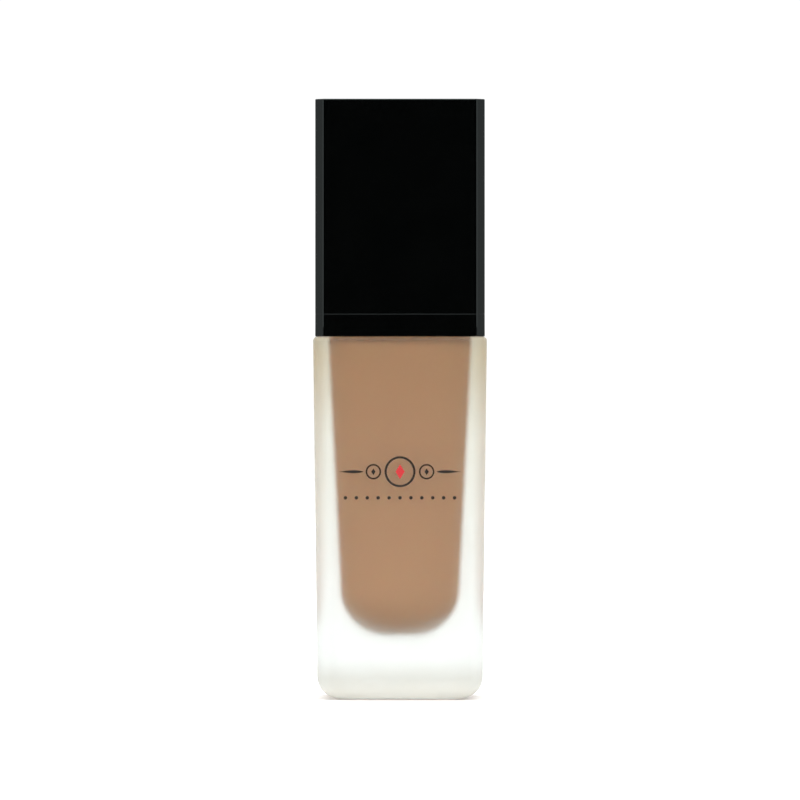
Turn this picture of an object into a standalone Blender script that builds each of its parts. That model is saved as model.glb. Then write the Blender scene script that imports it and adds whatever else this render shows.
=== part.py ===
"""Square frosted-glass foundation bottle with a screw-on treatment pump and a glossy black overcap.

Frame: origin at the middle of the base, +Z up, the front face towards -Y. Metres.
"""

import math

import bmesh
import bpy

MM = 0.001

# Clearances
SEAT_GAP = 0.3 * MM  # between pieces that seat on each other
SLIDE_GAP = 0.3 * MM  # between pieces that slide or turn in each other
SEAL_GAP = 0.15 * MM  # between the piston's lips and the barrel
GRIP_GAP = 0.12 * MM  # between the liner's grip bead and the collar's upstand
CUT_PAST = 1.0 * MM  # how far a cutter runs past the face it opens

# Glass bottle
BODY_HEIGHT = 68.3 * MM
BODY_STAND_OUT = 0.4 * MM  # of each side past the collar, at the shoulder
BODY_TAPER_IN = 0.85 * MM  # of each side from the shoulder to the base
BODY_CORNER = 2.6 * MM  # plan radius of the upright edges
BASE_RADIUS = 4.4 * MM
SHOULDER_RADIUS = 0.8 * MM
BEARING_WIDTH = 2.5 * MM  # of the flat ring that the bottle stands on
PUSH_UP_HEIGHT = 0.6 * MM
BASE_THICKNESS = 11.9 * MM
SHOULDER_THICKNESS = 1.2 * MM
GLASS_WALL_TOP = 2.65 * MM
GLASS_WALL_BASE = 4.65 * MM
CAVITY_CORNER = 4.0 * MM
CAVITY_BASE_RADIUS = 8.5 * MM
CAVITY_SHOULDER_RADIUS = 1.2 * MM

# Threaded neck
NECK_HEIGHT = 13.0 * MM
NECK_WALL = 2.4 * MM
NECK_ROOM = 1.5 * MM  # between the neck's bore and the pump's barrel
NECK_FOOT_RADIUS = 0.6 * MM
LIP_RADIUS = 0.5 * MM
THREAD_PITCH = 3.18 * MM
THREAD_TURNS = 1.25
THREAD_DEPTH = 1.05 * MM
THREAD_ROOT_WIDTH = 1.9 * MM
THREAD_CREST_WIDTH = 0.9 * MM
THREAD_DROP = 2.7 * MM  # of the thread's upper end below the lip
THREAD_ANCHOR = 0.5 * MM  # how far a ridge is rooted in its wall
THREAD_RUN_OUT = math.radians(30)
THREAD_END_SHARE = 0.3  # of the full depth, at the very ends of a ridge

# Screw closure and square collar
CLOSURE_WALL = 1.35 * MM
CLOSURE_TOP = 1.2 * MM
CLOSURE_FOOT_GAP = 0.7 * MM  # above the shoulder
COLLAR_HEIGHT = 4.1 * MM
COLLAR_WALL = 1.6 * MM
COLLAR_DECK = 1.5 * MM
UPSTAND_WALL = 1.0 * MM
UPSTAND_LIP = 0.8 * MM
UPSTAND_LIP_WIDTH = 2.8 * MM

# Overcap
CAP_WALL = 1.6 * MM
CAP_TOP = 1.8 * MM
EDGE_CHAMFER = 1.5 * MM  # upright edges of the overcap and the collar
EDGE_ROUNDING = 0.35 * MM  # level edges of the overcap and the collar
LINER_WALL = 0.95 * MM
LINER_CEILING = 1.2 * MM
LINER_TOP_GAP = 2.0 * MM
LINER_FOOT = 0.6 * MM
LINER_RIB = 1.2 * MM
LINER_ROOM = 0.3 * MM  # between the liner and the shell's flat sides
HEAD_ROOM = 1.5 * MM  # between the button's top and the liner
GRIP_BEAD_WIDTH = 2.0 * MM
GRIP_BEAD_CREST = 0.6 * MM
GRIP_BEAD_HEIGHT = 3.0 * MM  # above the liner's foot

# Pump
GASKET_THICKNESS = 0.8 * MM
FLANGE_THICKNESS = 1.2 * MM
BARREL_BORE = 3.9 * MM
BARREL_WALL = 1.0 * MM
BARREL_LENGTH = 24.0 * MM  # below the flange
CHAMBER_LENGTH = 4.5 * MM
CHAMBER_WALL = 1.1 * MM
ORIFICE = 0.9 * MM
ORIFICE_LENGTH = 1.0 * MM
SEAT_LENGTH = 0.9 * MM
SOCKET_LENGTH = 6.0 * MM
SOCKET_WALL = 0.8 * MM
TUBE_RADIUS = 1.35 * MM
TUBE_BORE = 0.8 * MM
TUBE_FLOOR_GAP = 1.2 * MM
BALL_RADIUS = 1.5 * MM
BALL_ROOM = 0.4 * MM  # between the ball and its chamber
TURRET_WALL = 0.4 * MM  # how far the turret ring stands out past the barrel
TURRET_HEIGHT = 4.0 * MM
TURRET_SKIRT = 3.4 * MM
STEM_RADIUS = 2.3 * MM
STEM_BORE = 1.1 * MM
STEM_STOP = 0.8 * MM
STEM_FOOT = 4.6 * MM  # from the stop's underside to the stem's foot
PISTON_LENGTH = 3.8 * MM
PISTON_LIP = 0.8 * MM
PISTON_RAMP = 0.4 * MM  # from a lip down to the waist
SEAT_HEAD = 1.4 * MM
SEAT_PLUG_LENGTH = 2.6 * MM
SPRING_WIRE = 0.35 * MM  # radius of the wire
SPRING_ROOM = 0.75 * MM  # between the coil and the barrel
SPRING_COILS = 7
STROKE = 4.5 * MM

# Pump head
BUTTON_RADIUS = 7.2 * MM
BUTTON_HEIGHT = 15.2 * MM
BUTTON_CROWN = 1.6 * MM
BUTTON_WALL = 1.1 * MM
BUTTON_SKIRT = 7.0 * MM
SOCKET_DEPTH = 3.6 * MM  # of the stem above the skirt's ceiling
BUTTON_BOSS = 3.8 * MM
BOSS_DROP = 3.0 * MM  # of the boss below the skirt's ceiling
SPOUT_RADIUS = 2.4 * MM
SPOUT_ROOM = 0.9 * MM  # between the spout's tip and the liner
SPOUT_ROOT = 1.5 * MM  # of the spout inside the button's wall
SPOUT_DROP = 3.6 * MM  # of the spout's middle below the button's top
NOZZLE_RADIUS = 1.4 * MM
NOZZLE_BORE = 0.5 * MM
NOZZLE_LENGTH = 2.4 * MM

# Facets
ROUND_STEPS = 48
PUMP_STEPS = 32
SMALL_STEPS = 24
ARC_STEPS = 5
LIP_STEPS = 3
PUSH_UP_STEPS = 4
BASE_STEPS = 6
SHOULDER_STEPS = 4
CAVITY_BASE_STEPS = 7
CAVITY_SHOULDER_STEPS = 3
COIL_STEPS = 14
BALL_SEGMENTS = 16
BALL_RINGS = 10
FLAT_STEPS = 6  # facets along one side of a rounded square
CORNER_STEPS = 6  # facets round one corner of a rounded square
CORNER_LIMIT = 0.9  # of a ring's half width, for its corner radius at most
LEVEL_EDGE_ANGLE = math.radians(60)
SMOOTH_ANGLE = math.radians(35)

# Radii and widths that follow, from the pump's barrel outwards
BARREL_RADIUS = BARREL_BORE + BARREL_WALL
NECK_BORE = BARREL_RADIUS + NECK_ROOM
NECK_RADIUS = NECK_BORE + NECK_WALL
FLANGE_RADIUS = NECK_RADIUS
CLOSURE_BORE = NECK_RADIUS + THREAD_DEPTH + SLIDE_GAP
CLOSURE_RADIUS = CLOSURE_BORE + CLOSURE_WALL
UPSTAND_BORE = CLOSURE_RADIUS + SEAT_GAP
UPSTAND_RADIUS = UPSTAND_BORE + UPSTAND_WALL
UPSTAND_HOLE = UPSTAND_BORE - UPSTAND_LIP_WIDTH
LINER_BORE = UPSTAND_RADIUS + SLIDE_GAP
LINER_RADIUS = LINER_BORE + LINER_WALL
CAP_INSIDE = LINER_RADIUS + LINER_ROOM
CAP_WIDTH = 2 * (CAP_INSIDE + CAP_WALL)
BODY_WIDTH_TOP = CAP_WIDTH + 2 * BODY_STAND_OUT
BODY_WIDTH_BASE = BODY_WIDTH_TOP - 2 * BODY_TAPER_IN
PUSH_UP_WIDTH = BODY_WIDTH_BASE - 2 * (BASE_RADIUS + BEARING_WIDTH)
SPOUT_REACH = LINER_BORE - SPOUT_ROOM
TURRET_RADIUS = BARREL_RADIUS + TURRET_WALL
CLOSURE_HOLE = TURRET_RADIUS + SEAT_GAP
STEM_STOP_RADIUS = BARREL_BORE - 2 * SLIDE_GAP
SPRING_RADIUS = BARREL_BORE - SPRING_ROOM - SPRING_WIRE
CHAMBER_BORE = BALL_RADIUS + BALL_ROOM
CHAMBER_RADIUS = CHAMBER_BORE + CHAMBER_WALL
SOCKET_BORE = TUBE_RADIUS + SEAT_GAP
SOCKET_RADIUS = SOCKET_BORE + SOCKET_WALL

# Heights that follow, from the glass body upwards
BODY_TAPER = (BODY_WIDTH_TOP - BODY_WIDTH_BASE) / BODY_HEIGHT
CAVITY_TOP = BODY_HEIGHT - SHOULDER_THICKNESS
NECK_TOP = BODY_HEIGHT + NECK_HEIGHT
THREAD_START = NECK_TOP - THREAD_DROP - THREAD_PITCH * THREAD_TURNS
GASKET_FOOT = NECK_TOP + SEAT_GAP
FLANGE_FOOT = GASKET_FOOT + GASKET_THICKNESS + SEAT_GAP
FLANGE_TOP = FLANGE_FOOT + FLANGE_THICKNESS
CLOSURE_PLATE = FLANGE_TOP + SEAT_GAP
CLOSURE_HEAD = CLOSURE_PLATE + CLOSURE_TOP
UPSTAND_CEILING = CLOSURE_HEAD + SEAT_GAP
UPSTAND_TOP = UPSTAND_CEILING + UPSTAND_LIP
BUTTON_FOOT = UPSTAND_TOP + STROKE + SEAT_GAP
BUTTON_CEILING = BUTTON_FOOT + BUTTON_SKIRT
BUTTON_TOP = BUTTON_FOOT + BUTTON_HEIGHT
SPOUT_HEIGHT = BUTTON_TOP - SPOUT_DROP
LINER_INSIDE = BUTTON_TOP + HEAD_ROOM
LINER_TOP = LINER_INSIDE + LINER_CEILING
CAP_CEILING = LINER_TOP + LINER_TOP_GAP
CAP_CROWN = CAP_CEILING + CAP_TOP
COLLAR_FOOT = BODY_HEIGHT + SEAT_GAP
COLLAR_TOP = COLLAR_FOOT + COLLAR_HEIGHT
CAP_FOOT = COLLAR_TOP + SEAT_GAP

# Heights inside the pump, from its flange downwards
BARREL_FOOT = FLANGE_FOOT - BARREL_LENGTH
BARREL_FLOOR = BARREL_FOOT + BARREL_WALL
ORIFICE_TOP = BARREL_FOOT - CHAMBER_LENGTH
ORIFICE_FOOT = ORIFICE_TOP - ORIFICE_LENGTH
SOCKET_FOOT = ORIFICE_FOOT - SOCKET_LENGTH
TUBE_TOP = ORIFICE_FOOT - SEAT_GAP
TUBE_FOOT = BASE_THICKNESS + TUBE_FLOOR_GAP
TURRET_FOOT = FLANGE_TOP + SEAT_GAP
TURRET_TOP = TURRET_FOOT + TURRET_HEIGHT
SKIRT_FOOT = TURRET_FOOT - TURRET_SKIRT
STEM_TOP = BUTTON_CEILING + SOCKET_DEPTH - SEAT_GAP
STOP_TOP = SKIRT_FOOT - SEAT_GAP
STOP_FOOT = STOP_TOP - STEM_STOP
STEM_END = STOP_FOOT - STEM_FOOT
SEAT_TOP = STEM_END - SEAT_GAP
SPRING_TOP = SEAT_TOP - SEAT_HEAD - SEAT_GAP
SPRING_FOOT = BARREL_FLOOR + SEAT_GAP

COLOURS = {
    "frosted_glass": ((0.80, 0.83, 0.77), 0.45, 0.0),
    "foundation": ((0.423, 0.258, 0.147), 0.40, 0.0),
    "black_gloss": ((0.004, 0.005, 0.005), 0.10, 0.0),
    "black_satin": ((0.010, 0.010, 0.011), 0.35, 0.0),
    "natural_plastic": ((0.78, 0.78, 0.75), 0.40, 0.0),
    "white_plastic": ((0.82, 0.82, 0.80), 0.35, 0.0),
    "soft_seal": ((0.60, 0.60, 0.58), 0.60, 0.0),
    "steel": ((0.56, 0.57, 0.58), 0.25, 1.0),
}


def clear_scene():
    """Removes whatever the file holds."""
    for item in list(bpy.data.objects):
        bpy.data.objects.remove(item, do_unlink=True)
    for group in list(bpy.data.collections):
        bpy.data.collections.remove(group)


def new_collection(name):
    """A collection linked to the scene."""
    group = bpy.data.collections.new(name)
    bpy.context.scene.collection.children.link(group)
    return group


def make_materials():
    """One Principled material for each kind of stuff."""
    made = {}
    for name, (colour, roughness, metallic) in COLOURS.items():
        material = bpy.data.materials.new(name)
        material.use_nodes = True
        shader = material.node_tree.nodes["Principled BSDF"]
        shader.inputs["Base Color"].default_value = (*colour, 1.0)
        shader.inputs["Roughness"].default_value = roughness
        shader.inputs["Metallic"].default_value = metallic
        material.diffuse_color = (*colour, 1.0)
        made[name] = material
    return made


def add_object(name, data, group, material=None):
    """Links an object holding this mesh or curve."""
    item = bpy.data.objects.new(name, data)
    group.objects.link(item)
    if material is not None:
        data.materials.append(material)
    return item


def smooth(mesh):
    """Smooth shading with sharp edges kept at corners."""
    mesh.shade_smooth()
    mesh.set_sharp_from_angle(angle=SMOOTH_ANGLE)


def arc(centre_r, centre_z, radius, start, end, steps=ARC_STEPS):
    """Profile points along an arc, in degrees from +R towards +Z."""
    points = []
    for step in range(steps + 1):
        angle = math.radians(start + (end - start) * step / steps)
        points.append((centre_r + radius * math.cos(angle), centre_z + radius * math.sin(angle)))
    return points


def turned(name, profile, group, material=None, steps=ROUND_STEPS, closed=True):
    """A turned piece: an (r, z) profile that runs down its outer side, turned about Z by a Screw."""
    mesh = bpy.data.meshes.new(name)
    count = len(profile)
    edges = [(i, (i + 1) % count) for i in range(count if closed else count - 1)]
    mesh.from_pydata([(r, 0.0, z) for r, z in profile], edges, [])
    item = add_object(name, mesh, group, material)
    screw = item.modifiers.new("turn", "SCREW")
    screw.axis = "Z"
    screw.angle = 2 * math.pi
    screw.steps = steps
    screw.render_steps = steps
    screw.use_merge_vertices = True
    screw.merge_threshold = 0.00001
    screw.use_smooth_shade = True
    return item


def settle(item):
    """Turns an object's modifiers or curve into plain mesh, and returns the mesh object."""
    evaluated = item.evaluated_get(bpy.context.evaluated_depsgraph_get())
    mesh = bpy.data.meshes.new_from_object(evaluated)
    work = bmesh.new()
    work.from_mesh(mesh)
    bmesh.ops.remove_doubles(work, verts=work.verts, dist=0.000001)
    bmesh.ops.recalc_face_normals(work, faces=work.faces)
    work.to_mesh(mesh)
    work.free()
    name = item.name
    group = item.users_collection[0]
    place = item.matrix_world.copy()
    bpy.data.objects.remove(item, do_unlink=True)
    made = add_object(name, mesh, group)
    mesh.name = name
    made.matrix_world = place
    smooth(mesh)
    return made


def combine(item, other, operation):
    """Adds a Boolean with another object."""
    cut = item.modifiers.new(f"{operation.lower()} {other.name}", "BOOLEAN")
    cut.operation = operation
    cut.solver = "EXACT"
    cut.object = other
    return cut


def as_cutter(item):
    """Marks a helper that only shapes other pieces."""
    item.hide_render = True
    item.display_type = "WIRE"
    return item


def square_ring(width, corner, z):
    """A square with rounded corners, anticlockwise, one side's facets and then one corner's."""
    half = width / 2
    flat = half - min(corner, CORNER_LIMIT * half)
    radius = half - flat
    ring = []
    for quarter in range(4):
        turn = math.radians(90 * quarter)
        side = [(half, flat * (2 * step / FLAT_STEPS - 1)) for step in range(FLAT_STEPS)]
        for step in range(CORNER_STEPS):
            angle = math.radians(90 * step / CORNER_STEPS)
            side.append((flat + radius * math.cos(angle), flat + radius * math.sin(angle)))
        for x, y in side:
            ring.append(
                (
                    x * math.cos(turn) - y * math.sin(turn),
                    x * math.sin(turn) + y * math.cos(turn),
                    z,
                )
            )
    return ring


def round_ring(radius, z):
    """A circle with the same number of points, in step with square_ring."""
    count = 4 * (FLAT_STEPS + CORNER_STEPS)
    start = -math.pi * FLAT_STEPS / count
    ring = []
    for step in range(count):
        angle = start + 2 * math.pi * step / count
        ring.append((radius * math.cos(angle), radius * math.sin(angle), z))
    return ring


def lofted(name, rings, group, material=None, joined=False):
    """Skins a run of rings. The ends are closed by flat caps, or the last ring joins the first."""
    work = bmesh.new()
    rows = [[work.verts.new(point) for point in ring] for ring in rings]
    count = len(rows[0])
    if joined:
        rows.append(rows[0])
    for low, high in zip(rows, rows[1:]):
        for step in range(count):
            after = (step + 1) % count
            work.faces.new((low[step], low[after], high[after], high[step]))
    if not joined:
        work.faces.new(list(reversed(rows[0])))
        work.faces.new(rows[-1])
    bmesh.ops.recalc_face_normals(work, faces=work.faces)
    mesh = bpy.data.meshes.new(name)
    work.to_mesh(mesh)
    work.free()
    smooth(mesh)
    return add_object(name, mesh, group, material)


def thread_ridge(name, wall, crest, foot_z, group):
    """A helical ridge from a wall to a crest radius, with short run-outs at its ends."""
    steps = round(ROUND_STEPS * THREAD_TURNS)
    total = 2 * math.pi * THREAD_TURNS
    side = 1 if crest > wall else -1
    anchor = wall - side * THREAD_ANCHOR
    slope = (THREAD_ROOT_WIDTH - THREAD_CREST_WIDTH) / 2 / THREAD_DEPTH
    work = bmesh.new()
    rows = []
    for step in range(steps + 1):
        angle = total * step / steps
        run = min(angle, total - angle) / THREAD_RUN_OUT
        fade = min(1.0, THREAD_END_SHARE + (1 - THREAD_END_SHARE) * run)
        height = foot_z + THREAD_PITCH * angle / (2 * math.pi)
        tip = wall + fade * (crest - wall)
        tip_half = THREAD_CREST_WIDTH / 2 + (1 - fade) * abs(crest - wall) * slope
        root_half = THREAD_CREST_WIDTH / 2 + (abs(crest - wall) + THREAD_ANCHOR) * slope
        section = [
            (anchor, height - root_half),
            (tip, height - tip_half),
            (tip, height + tip_half),
            (anchor, height + root_half),
        ]
        rows.append(
            [work.verts.new((r * math.cos(angle), r * math.sin(angle), z)) for r, z in section]
        )
    for low, high in zip(rows, rows[1:]):
        for corner in range(4):
            after = (corner + 1) % 4
            work.faces.new((low[corner], low[after], high[after], high[corner]))
    work.faces.new(list(reversed(rows[0])))
    work.faces.new(rows[-1])
    bmesh.ops.recalc_face_normals(work, faces=work.faces)
    mesh = bpy.data.meshes.new(name)
    work.to_mesh(mesh)
    work.free()
    return as_cutter(add_object(name, mesh, group))


def body_width(z):
    """The glass body's outer width at a height, before its edge radii."""
    return BODY_WIDTH_BASE + BODY_TAPER * z


def cavity_width(z):
    """The cavity's width at a height, before its edge radii."""
    rise = (z - BASE_THICKNESS) / (CAVITY_TOP - BASE_THICKNESS)
    wall = GLASS_WALL_BASE + (GLASS_WALL_TOP - GLASS_WALL_BASE) * rise
    return body_width(z) - 2 * wall


def cavity_rings(inset=0.0):
    """Rings from the cavity's floor up to its shoulder, moved inwards by a gap."""
    rings = []
    low = BASE_THICKNESS + inset
    radius = CAVITY_BASE_RADIUS - inset
    for step in range(1, CAVITY_BASE_STEPS + 1):
        angle = math.radians(90 * step / CAVITY_BASE_STEPS)
        z = low + radius * (1 - math.cos(angle))
        width = cavity_width(z) - 2 * inset - 2 * radius * (1 - math.sin(angle))
        rings.append(square_ring(width, max(CAVITY_CORNER, radius * math.cos(angle)), z))
    radius = CAVITY_SHOULDER_RADIUS
    high = CAVITY_TOP - inset
    for step in range(CAVITY_SHOULDER_STEPS + 1):
        angle = math.radians(90 * step / CAVITY_SHOULDER_STEPS)
        z = high - radius * (1 - math.sin(angle))
        width = cavity_width(z) - 2 * inset - 2 * radius * (1 - math.cos(angle))
        rings.append(square_ring(width, CAVITY_CORNER, z))
    return rings


def push_up_rings():
    """Rings of the shallow hollow under the base, from its middle out to the bearing face."""
    rings = []
    for step in range(1, PUSH_UP_STEPS + 1):
        share = step / PUSH_UP_STEPS
        z = PUSH_UP_HEIGHT * (1 - share**2)
        corner = PUSH_UP_WIDTH / 2 * (1 - share) + BODY_CORNER
        rings.append(square_ring(share * PUSH_UP_WIDTH, corner, z))
    return rings


def body_rings():
    """Rings up the glass body's outside, from its bearing face to the shoulder."""
    rings = []
    for step in range(BASE_STEPS + 1):
        angle = math.radians(90 * step / BASE_STEPS)
        z = BASE_RADIUS * (1 - math.cos(angle))
        width = body_width(z) - 2 * BASE_RADIUS * (1 - math.sin(angle))
        rings.append(square_ring(width, BODY_CORNER, z))
    for step in range(SHOULDER_STEPS + 1):
        angle = math.radians(90 * step / SHOULDER_STEPS)
        z = BODY_HEIGHT - SHOULDER_RADIUS * (1 - math.sin(angle))
        width = body_width(z) - 2 * SHOULDER_RADIUS * (1 - math.cos(angle))
        rings.append(square_ring(width, BODY_CORNER, z))
    return rings


def make_bottle(group, helpers, material):
    """The glass bottle in one skin: push-up, body, neck, lip, bore and cavity, with its thread."""
    rings = push_up_rings() + body_rings()
    foot = NECK_FOOT_RADIUS
    for r, z in arc(NECK_RADIUS + foot, BODY_HEIGHT + foot, foot, 270, 180, LIP_STEPS):
        rings.append(round_ring(r, z))
    for r, z in arc(NECK_RADIUS - LIP_RADIUS, NECK_TOP - LIP_RADIUS, LIP_RADIUS, 0, 90, LIP_STEPS):
        rings.append(round_ring(r, z))
    for r, z in arc(NECK_BORE + LIP_RADIUS, NECK_TOP - LIP_RADIUS, LIP_RADIUS, 90, 180, LIP_STEPS):
        rings.append(round_ring(r, z))
    rings.append(round_ring(NECK_BORE, CAVITY_TOP + LIP_RADIUS))
    rings.append(round_ring(NECK_BORE + LIP_RADIUS, CAVITY_TOP))
    rings += reversed(cavity_rings())
    bottle = lofted("glass_bottle", rings, group, material)
    ridge = thread_ridge(
        "neck_thread_ridge",
        NECK_RADIUS,
        NECK_RADIUS + THREAD_DEPTH,
        THREAD_START,
        helpers,
    )
    combine(bottle, ridge, "UNION")
    return bottle


def make_fill(group, material):
    """The foundation: the cavity's shape with a well round the pump's barrel, socket and tube."""
    rings = cavity_rings(SEAT_GAP)
    top = CAVITY_TOP - SEAT_GAP
    well = BARREL_RADIUS + SLIDE_GAP
    chamber = CHAMBER_RADIUS + SLIDE_GAP
    socket = SOCKET_RADIUS + SLIDE_GAP
    tube = TUBE_RADIUS + SLIDE_GAP
    rings += [
        round_ring(well, top),
        round_ring(well, BARREL_FOOT - SLIDE_GAP),
        round_ring(chamber, BARREL_FOOT - SLIDE_GAP),
        round_ring(chamber, ORIFICE_FOOT - SLIDE_GAP),
        round_ring(socket, ORIFICE_FOOT - SLIDE_GAP),
        round_ring(socket, SOCKET_FOOT - SLIDE_GAP),
        round_ring(tube, SOCKET_FOOT - SLIDE_GAP),
        round_ring(tube, TUBE_FOOT - SLIDE_GAP),
    ]
    return lofted("foundation_fill", rings, group, material)


def make_closure(group, helpers, material):
    """The threaded ring that clamps the pump's flange on the neck."""
    foot = BODY_HEIGHT + CLOSURE_FOOT_GAP
    crown = CLOSURE_HEAD - LIP_RADIUS
    profile = arc(CLOSURE_RADIUS - LIP_RADIUS, crown, LIP_RADIUS, 90, 0, LIP_STEPS)
    profile += [
        (CLOSURE_RADIUS, foot),
        (CLOSURE_BORE, foot),
        (CLOSURE_BORE, CLOSURE_PLATE),
        (CLOSURE_HOLE, CLOSURE_PLATE),
        (CLOSURE_HOLE, CLOSURE_HEAD),
    ]
    closure = turned("screw_closure", profile, group, material)
    ridge = thread_ridge(
        "closure_thread_ridge",
        CLOSURE_BORE,
        CLOSURE_BORE - THREAD_DEPTH,
        THREAD_START - THREAD_PITCH / 2,
        helpers,
    )
    combine(closure, ridge, "UNION")
    return closure


def chamfered_block(name, width, height, foot, group, material=None, chamfer=EDGE_CHAMFER):
    """A square block with chamfered upright edges and softened level edges."""
    work = bmesh.new()
    bmesh.ops.create_cube(work, size=1.0)
    for vert in work.verts:
        vert.co.x *= width
        vert.co.y *= width
        vert.co.z *= height
    weights = work.edges.layers.float.new("bevel_weight_edge")
    for edge in work.edges:
        low, high = edge.verts
        edge[weights] = 1.0 if abs(low.co.z - high.co.z) > height / 2 else 0.0
    mesh = bpy.data.meshes.new(name)
    work.to_mesh(mesh)
    work.free()
    block = add_object(name, mesh, group, material)
    block.location.z = foot + height / 2
    uprights = block.modifiers.new("upright edges", "BEVEL")
    uprights.limit_method = "WEIGHT"
    uprights.width = chamfer
    uprights.segments = 1
    return block


def inner_chamfer(wall):
    """The chamfer that keeps a wall even all round inside a chamfered edge."""
    return EDGE_CHAMFER - wall * (2 - math.sqrt(2))


def soften_levels(block):
    """Rounds a block's level edges."""
    levels = block.modifiers.new("level edges", "BEVEL")
    levels.limit_method = "ANGLE"
    levels.angle_limit = LEVEL_EDGE_ANGLE
    levels.width = EDGE_ROUNDING
    levels.segments = LIP_STEPS
    return block


def make_collar(group, helpers, material):
    """The visible square band: a hollow square deck with a round upstand that the overcap grips."""
    collar = chamfered_block(
        "square_collar", CAP_WIDTH, COLLAR_HEIGHT, COLLAR_FOOT, group, material
    )
    soften_levels(collar)
    upstand = [(0.0, UPSTAND_TOP)]
    lip = UPSTAND_TOP - LIP_RADIUS
    upstand += arc(UPSTAND_RADIUS - LIP_RADIUS, lip, LIP_RADIUS, 90, 0, LIP_STEPS)
    upstand += [(UPSTAND_RADIUS, COLLAR_TOP - COLLAR_DECK / 2), (0.0, COLLAR_TOP - COLLAR_DECK / 2)]
    post = as_cutter(turned("collar_upstand", upstand, helpers, closed=False))
    pocket = as_cutter(
        chamfered_block(
            "collar_pocket",
            CAP_WIDTH - 2 * COLLAR_WALL,
            2 * (COLLAR_HEIGHT - COLLAR_DECK),
            COLLAR_FOOT - (COLLAR_HEIGHT - COLLAR_DECK),
            helpers,
            chamfer=inner_chamfer(COLLAR_WALL),
        )
    )
    bore = [
        (0.0, UPSTAND_TOP + CUT_PAST),
        (UPSTAND_HOLE, UPSTAND_TOP + CUT_PAST),
        (UPSTAND_HOLE, UPSTAND_CEILING),
        (UPSTAND_BORE, UPSTAND_CEILING),
        (UPSTAND_BORE, COLLAR_FOOT),
        (0.0, COLLAR_FOOT),
    ]
    hole = as_cutter(turned("collar_bore", bore, helpers, closed=False))
    combine(collar, post, "UNION")
    combine(collar, pocket, "DIFFERENCE")
    combine(collar, hole, "DIFFERENCE")
    return collar


def make_overcap(group, helpers, material):
    """The tall square shell."""
    height = CAP_CROWN - CAP_FOOT
    shell = chamfered_block("overcap_shell", CAP_WIDTH, height, CAP_FOOT, group, material)
    soften_levels(shell)
    inside = as_cutter(
        chamfered_block(
            "overcap_inside",
            2 * CAP_INSIDE,
            2 * (height - CAP_TOP),
            CAP_FOOT - (height - CAP_TOP),
            helpers,
            chamfer=inner_chamfer(CAP_WALL),
        )
    )
    combine(shell, inside, "DIFFERENCE")
    return shell


def make_liner(group, helpers, material):
    """The round sleeve in the overcap, with corner ribs and a bead that grips the upstand."""
    foot = CAP_FOOT + LINER_FOOT
    height = LINER_TOP - foot
    bead = UPSTAND_RADIUS + GRIP_GAP
    bead_low = foot + GRIP_BEAD_HEIGHT
    drum = [(0.0, LINER_TOP), (LINER_RADIUS, LINER_TOP), (LINER_RADIUS, foot), (0.0, foot)]
    liner = turned("overcap_liner", drum, group, material, closed=False)
    to_sides = math.sqrt(2) * (CAP_INSIDE - LINER_ROOM) - LINER_RIB / 2
    to_chamfer = (2 * CAP_INSIDE - inner_chamfer(CAP_WALL)) / math.sqrt(2) - LINER_ROOM
    corner_reach = 2 * min(to_sides, to_chamfer)
    for turn in (45, 135):
        work = bmesh.new()
        bmesh.ops.create_cube(work, size=1.0)
        for vert in work.verts:
            vert.co.x *= corner_reach
            vert.co.y *= LINER_RIB
            vert.co.z *= height - 2 * LINER_FOOT
        mesh = bpy.data.meshes.new("liner_rib")
        work.to_mesh(mesh)
        work.free()
        rib = as_cutter(add_object(f"liner_ribs_{turn}", mesh, helpers))
        rib.rotation_euler.z = math.radians(turn)
        rib.location.z = foot + height / 2
        combine(liner, rib, "UNION")
    core = [
        (0.0, LINER_INSIDE),
        (LINER_BORE, LINER_INSIDE),
        (LINER_BORE, bead_low + GRIP_BEAD_WIDTH),
        (bead, bead_low + (GRIP_BEAD_WIDTH + GRIP_BEAD_CREST) / 2),
        (bead, bead_low + (GRIP_BEAD_WIDTH - GRIP_BEAD_CREST) / 2),
        (LINER_BORE, bead_low),
        (LINER_BORE, foot - CUT_PAST),
        (0.0, foot - CUT_PAST),
    ]
    hollow = as_cutter(turned("liner_hollow", core, helpers, closed=False))
    combine(liner, hollow, "DIFFERENCE")
    return liner


def make_gasket(group, material):
    """The washer on the neck's lip."""
    inner = BARREL_RADIUS + SEAT_GAP
    outer = NECK_RADIUS - SEAT_GAP
    top = GASKET_FOOT + GASKET_THICKNESS
    profile = [(outer, top), (outer, GASKET_FOOT), (inner, GASKET_FOOT), (inner, top)]
    return turned("neck_gasket", profile, group, material)


def make_housing(group, material):
    """The pump's barrel with its flange, spring step, ball chamber and tube socket."""
    profile = [
        (FLANGE_RADIUS, FLANGE_TOP),
        (FLANGE_RADIUS, FLANGE_FOOT),
        (BARREL_RADIUS, FLANGE_FOOT),
        (BARREL_RADIUS, BARREL_FOOT),
        (CHAMBER_RADIUS, BARREL_FOOT),
        (CHAMBER_RADIUS, ORIFICE_FOOT),
        (SOCKET_RADIUS, ORIFICE_FOOT),
        (SOCKET_RADIUS, SOCKET_FOOT),
        (SOCKET_BORE, SOCKET_FOOT),
        (SOCKET_BORE, ORIFICE_FOOT),
        (ORIFICE, ORIFICE_FOOT),
        (ORIFICE, ORIFICE_TOP),
        (CHAMBER_BORE, ORIFICE_TOP + SEAT_LENGTH),
        (CHAMBER_BORE, BARREL_FLOOR),
        (BARREL_BORE, BARREL_FLOOR),
        (BARREL_BORE, FLANGE_TOP),
    ]
    return turned("pump_housing", profile, group, material, PUMP_STEPS)


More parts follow.
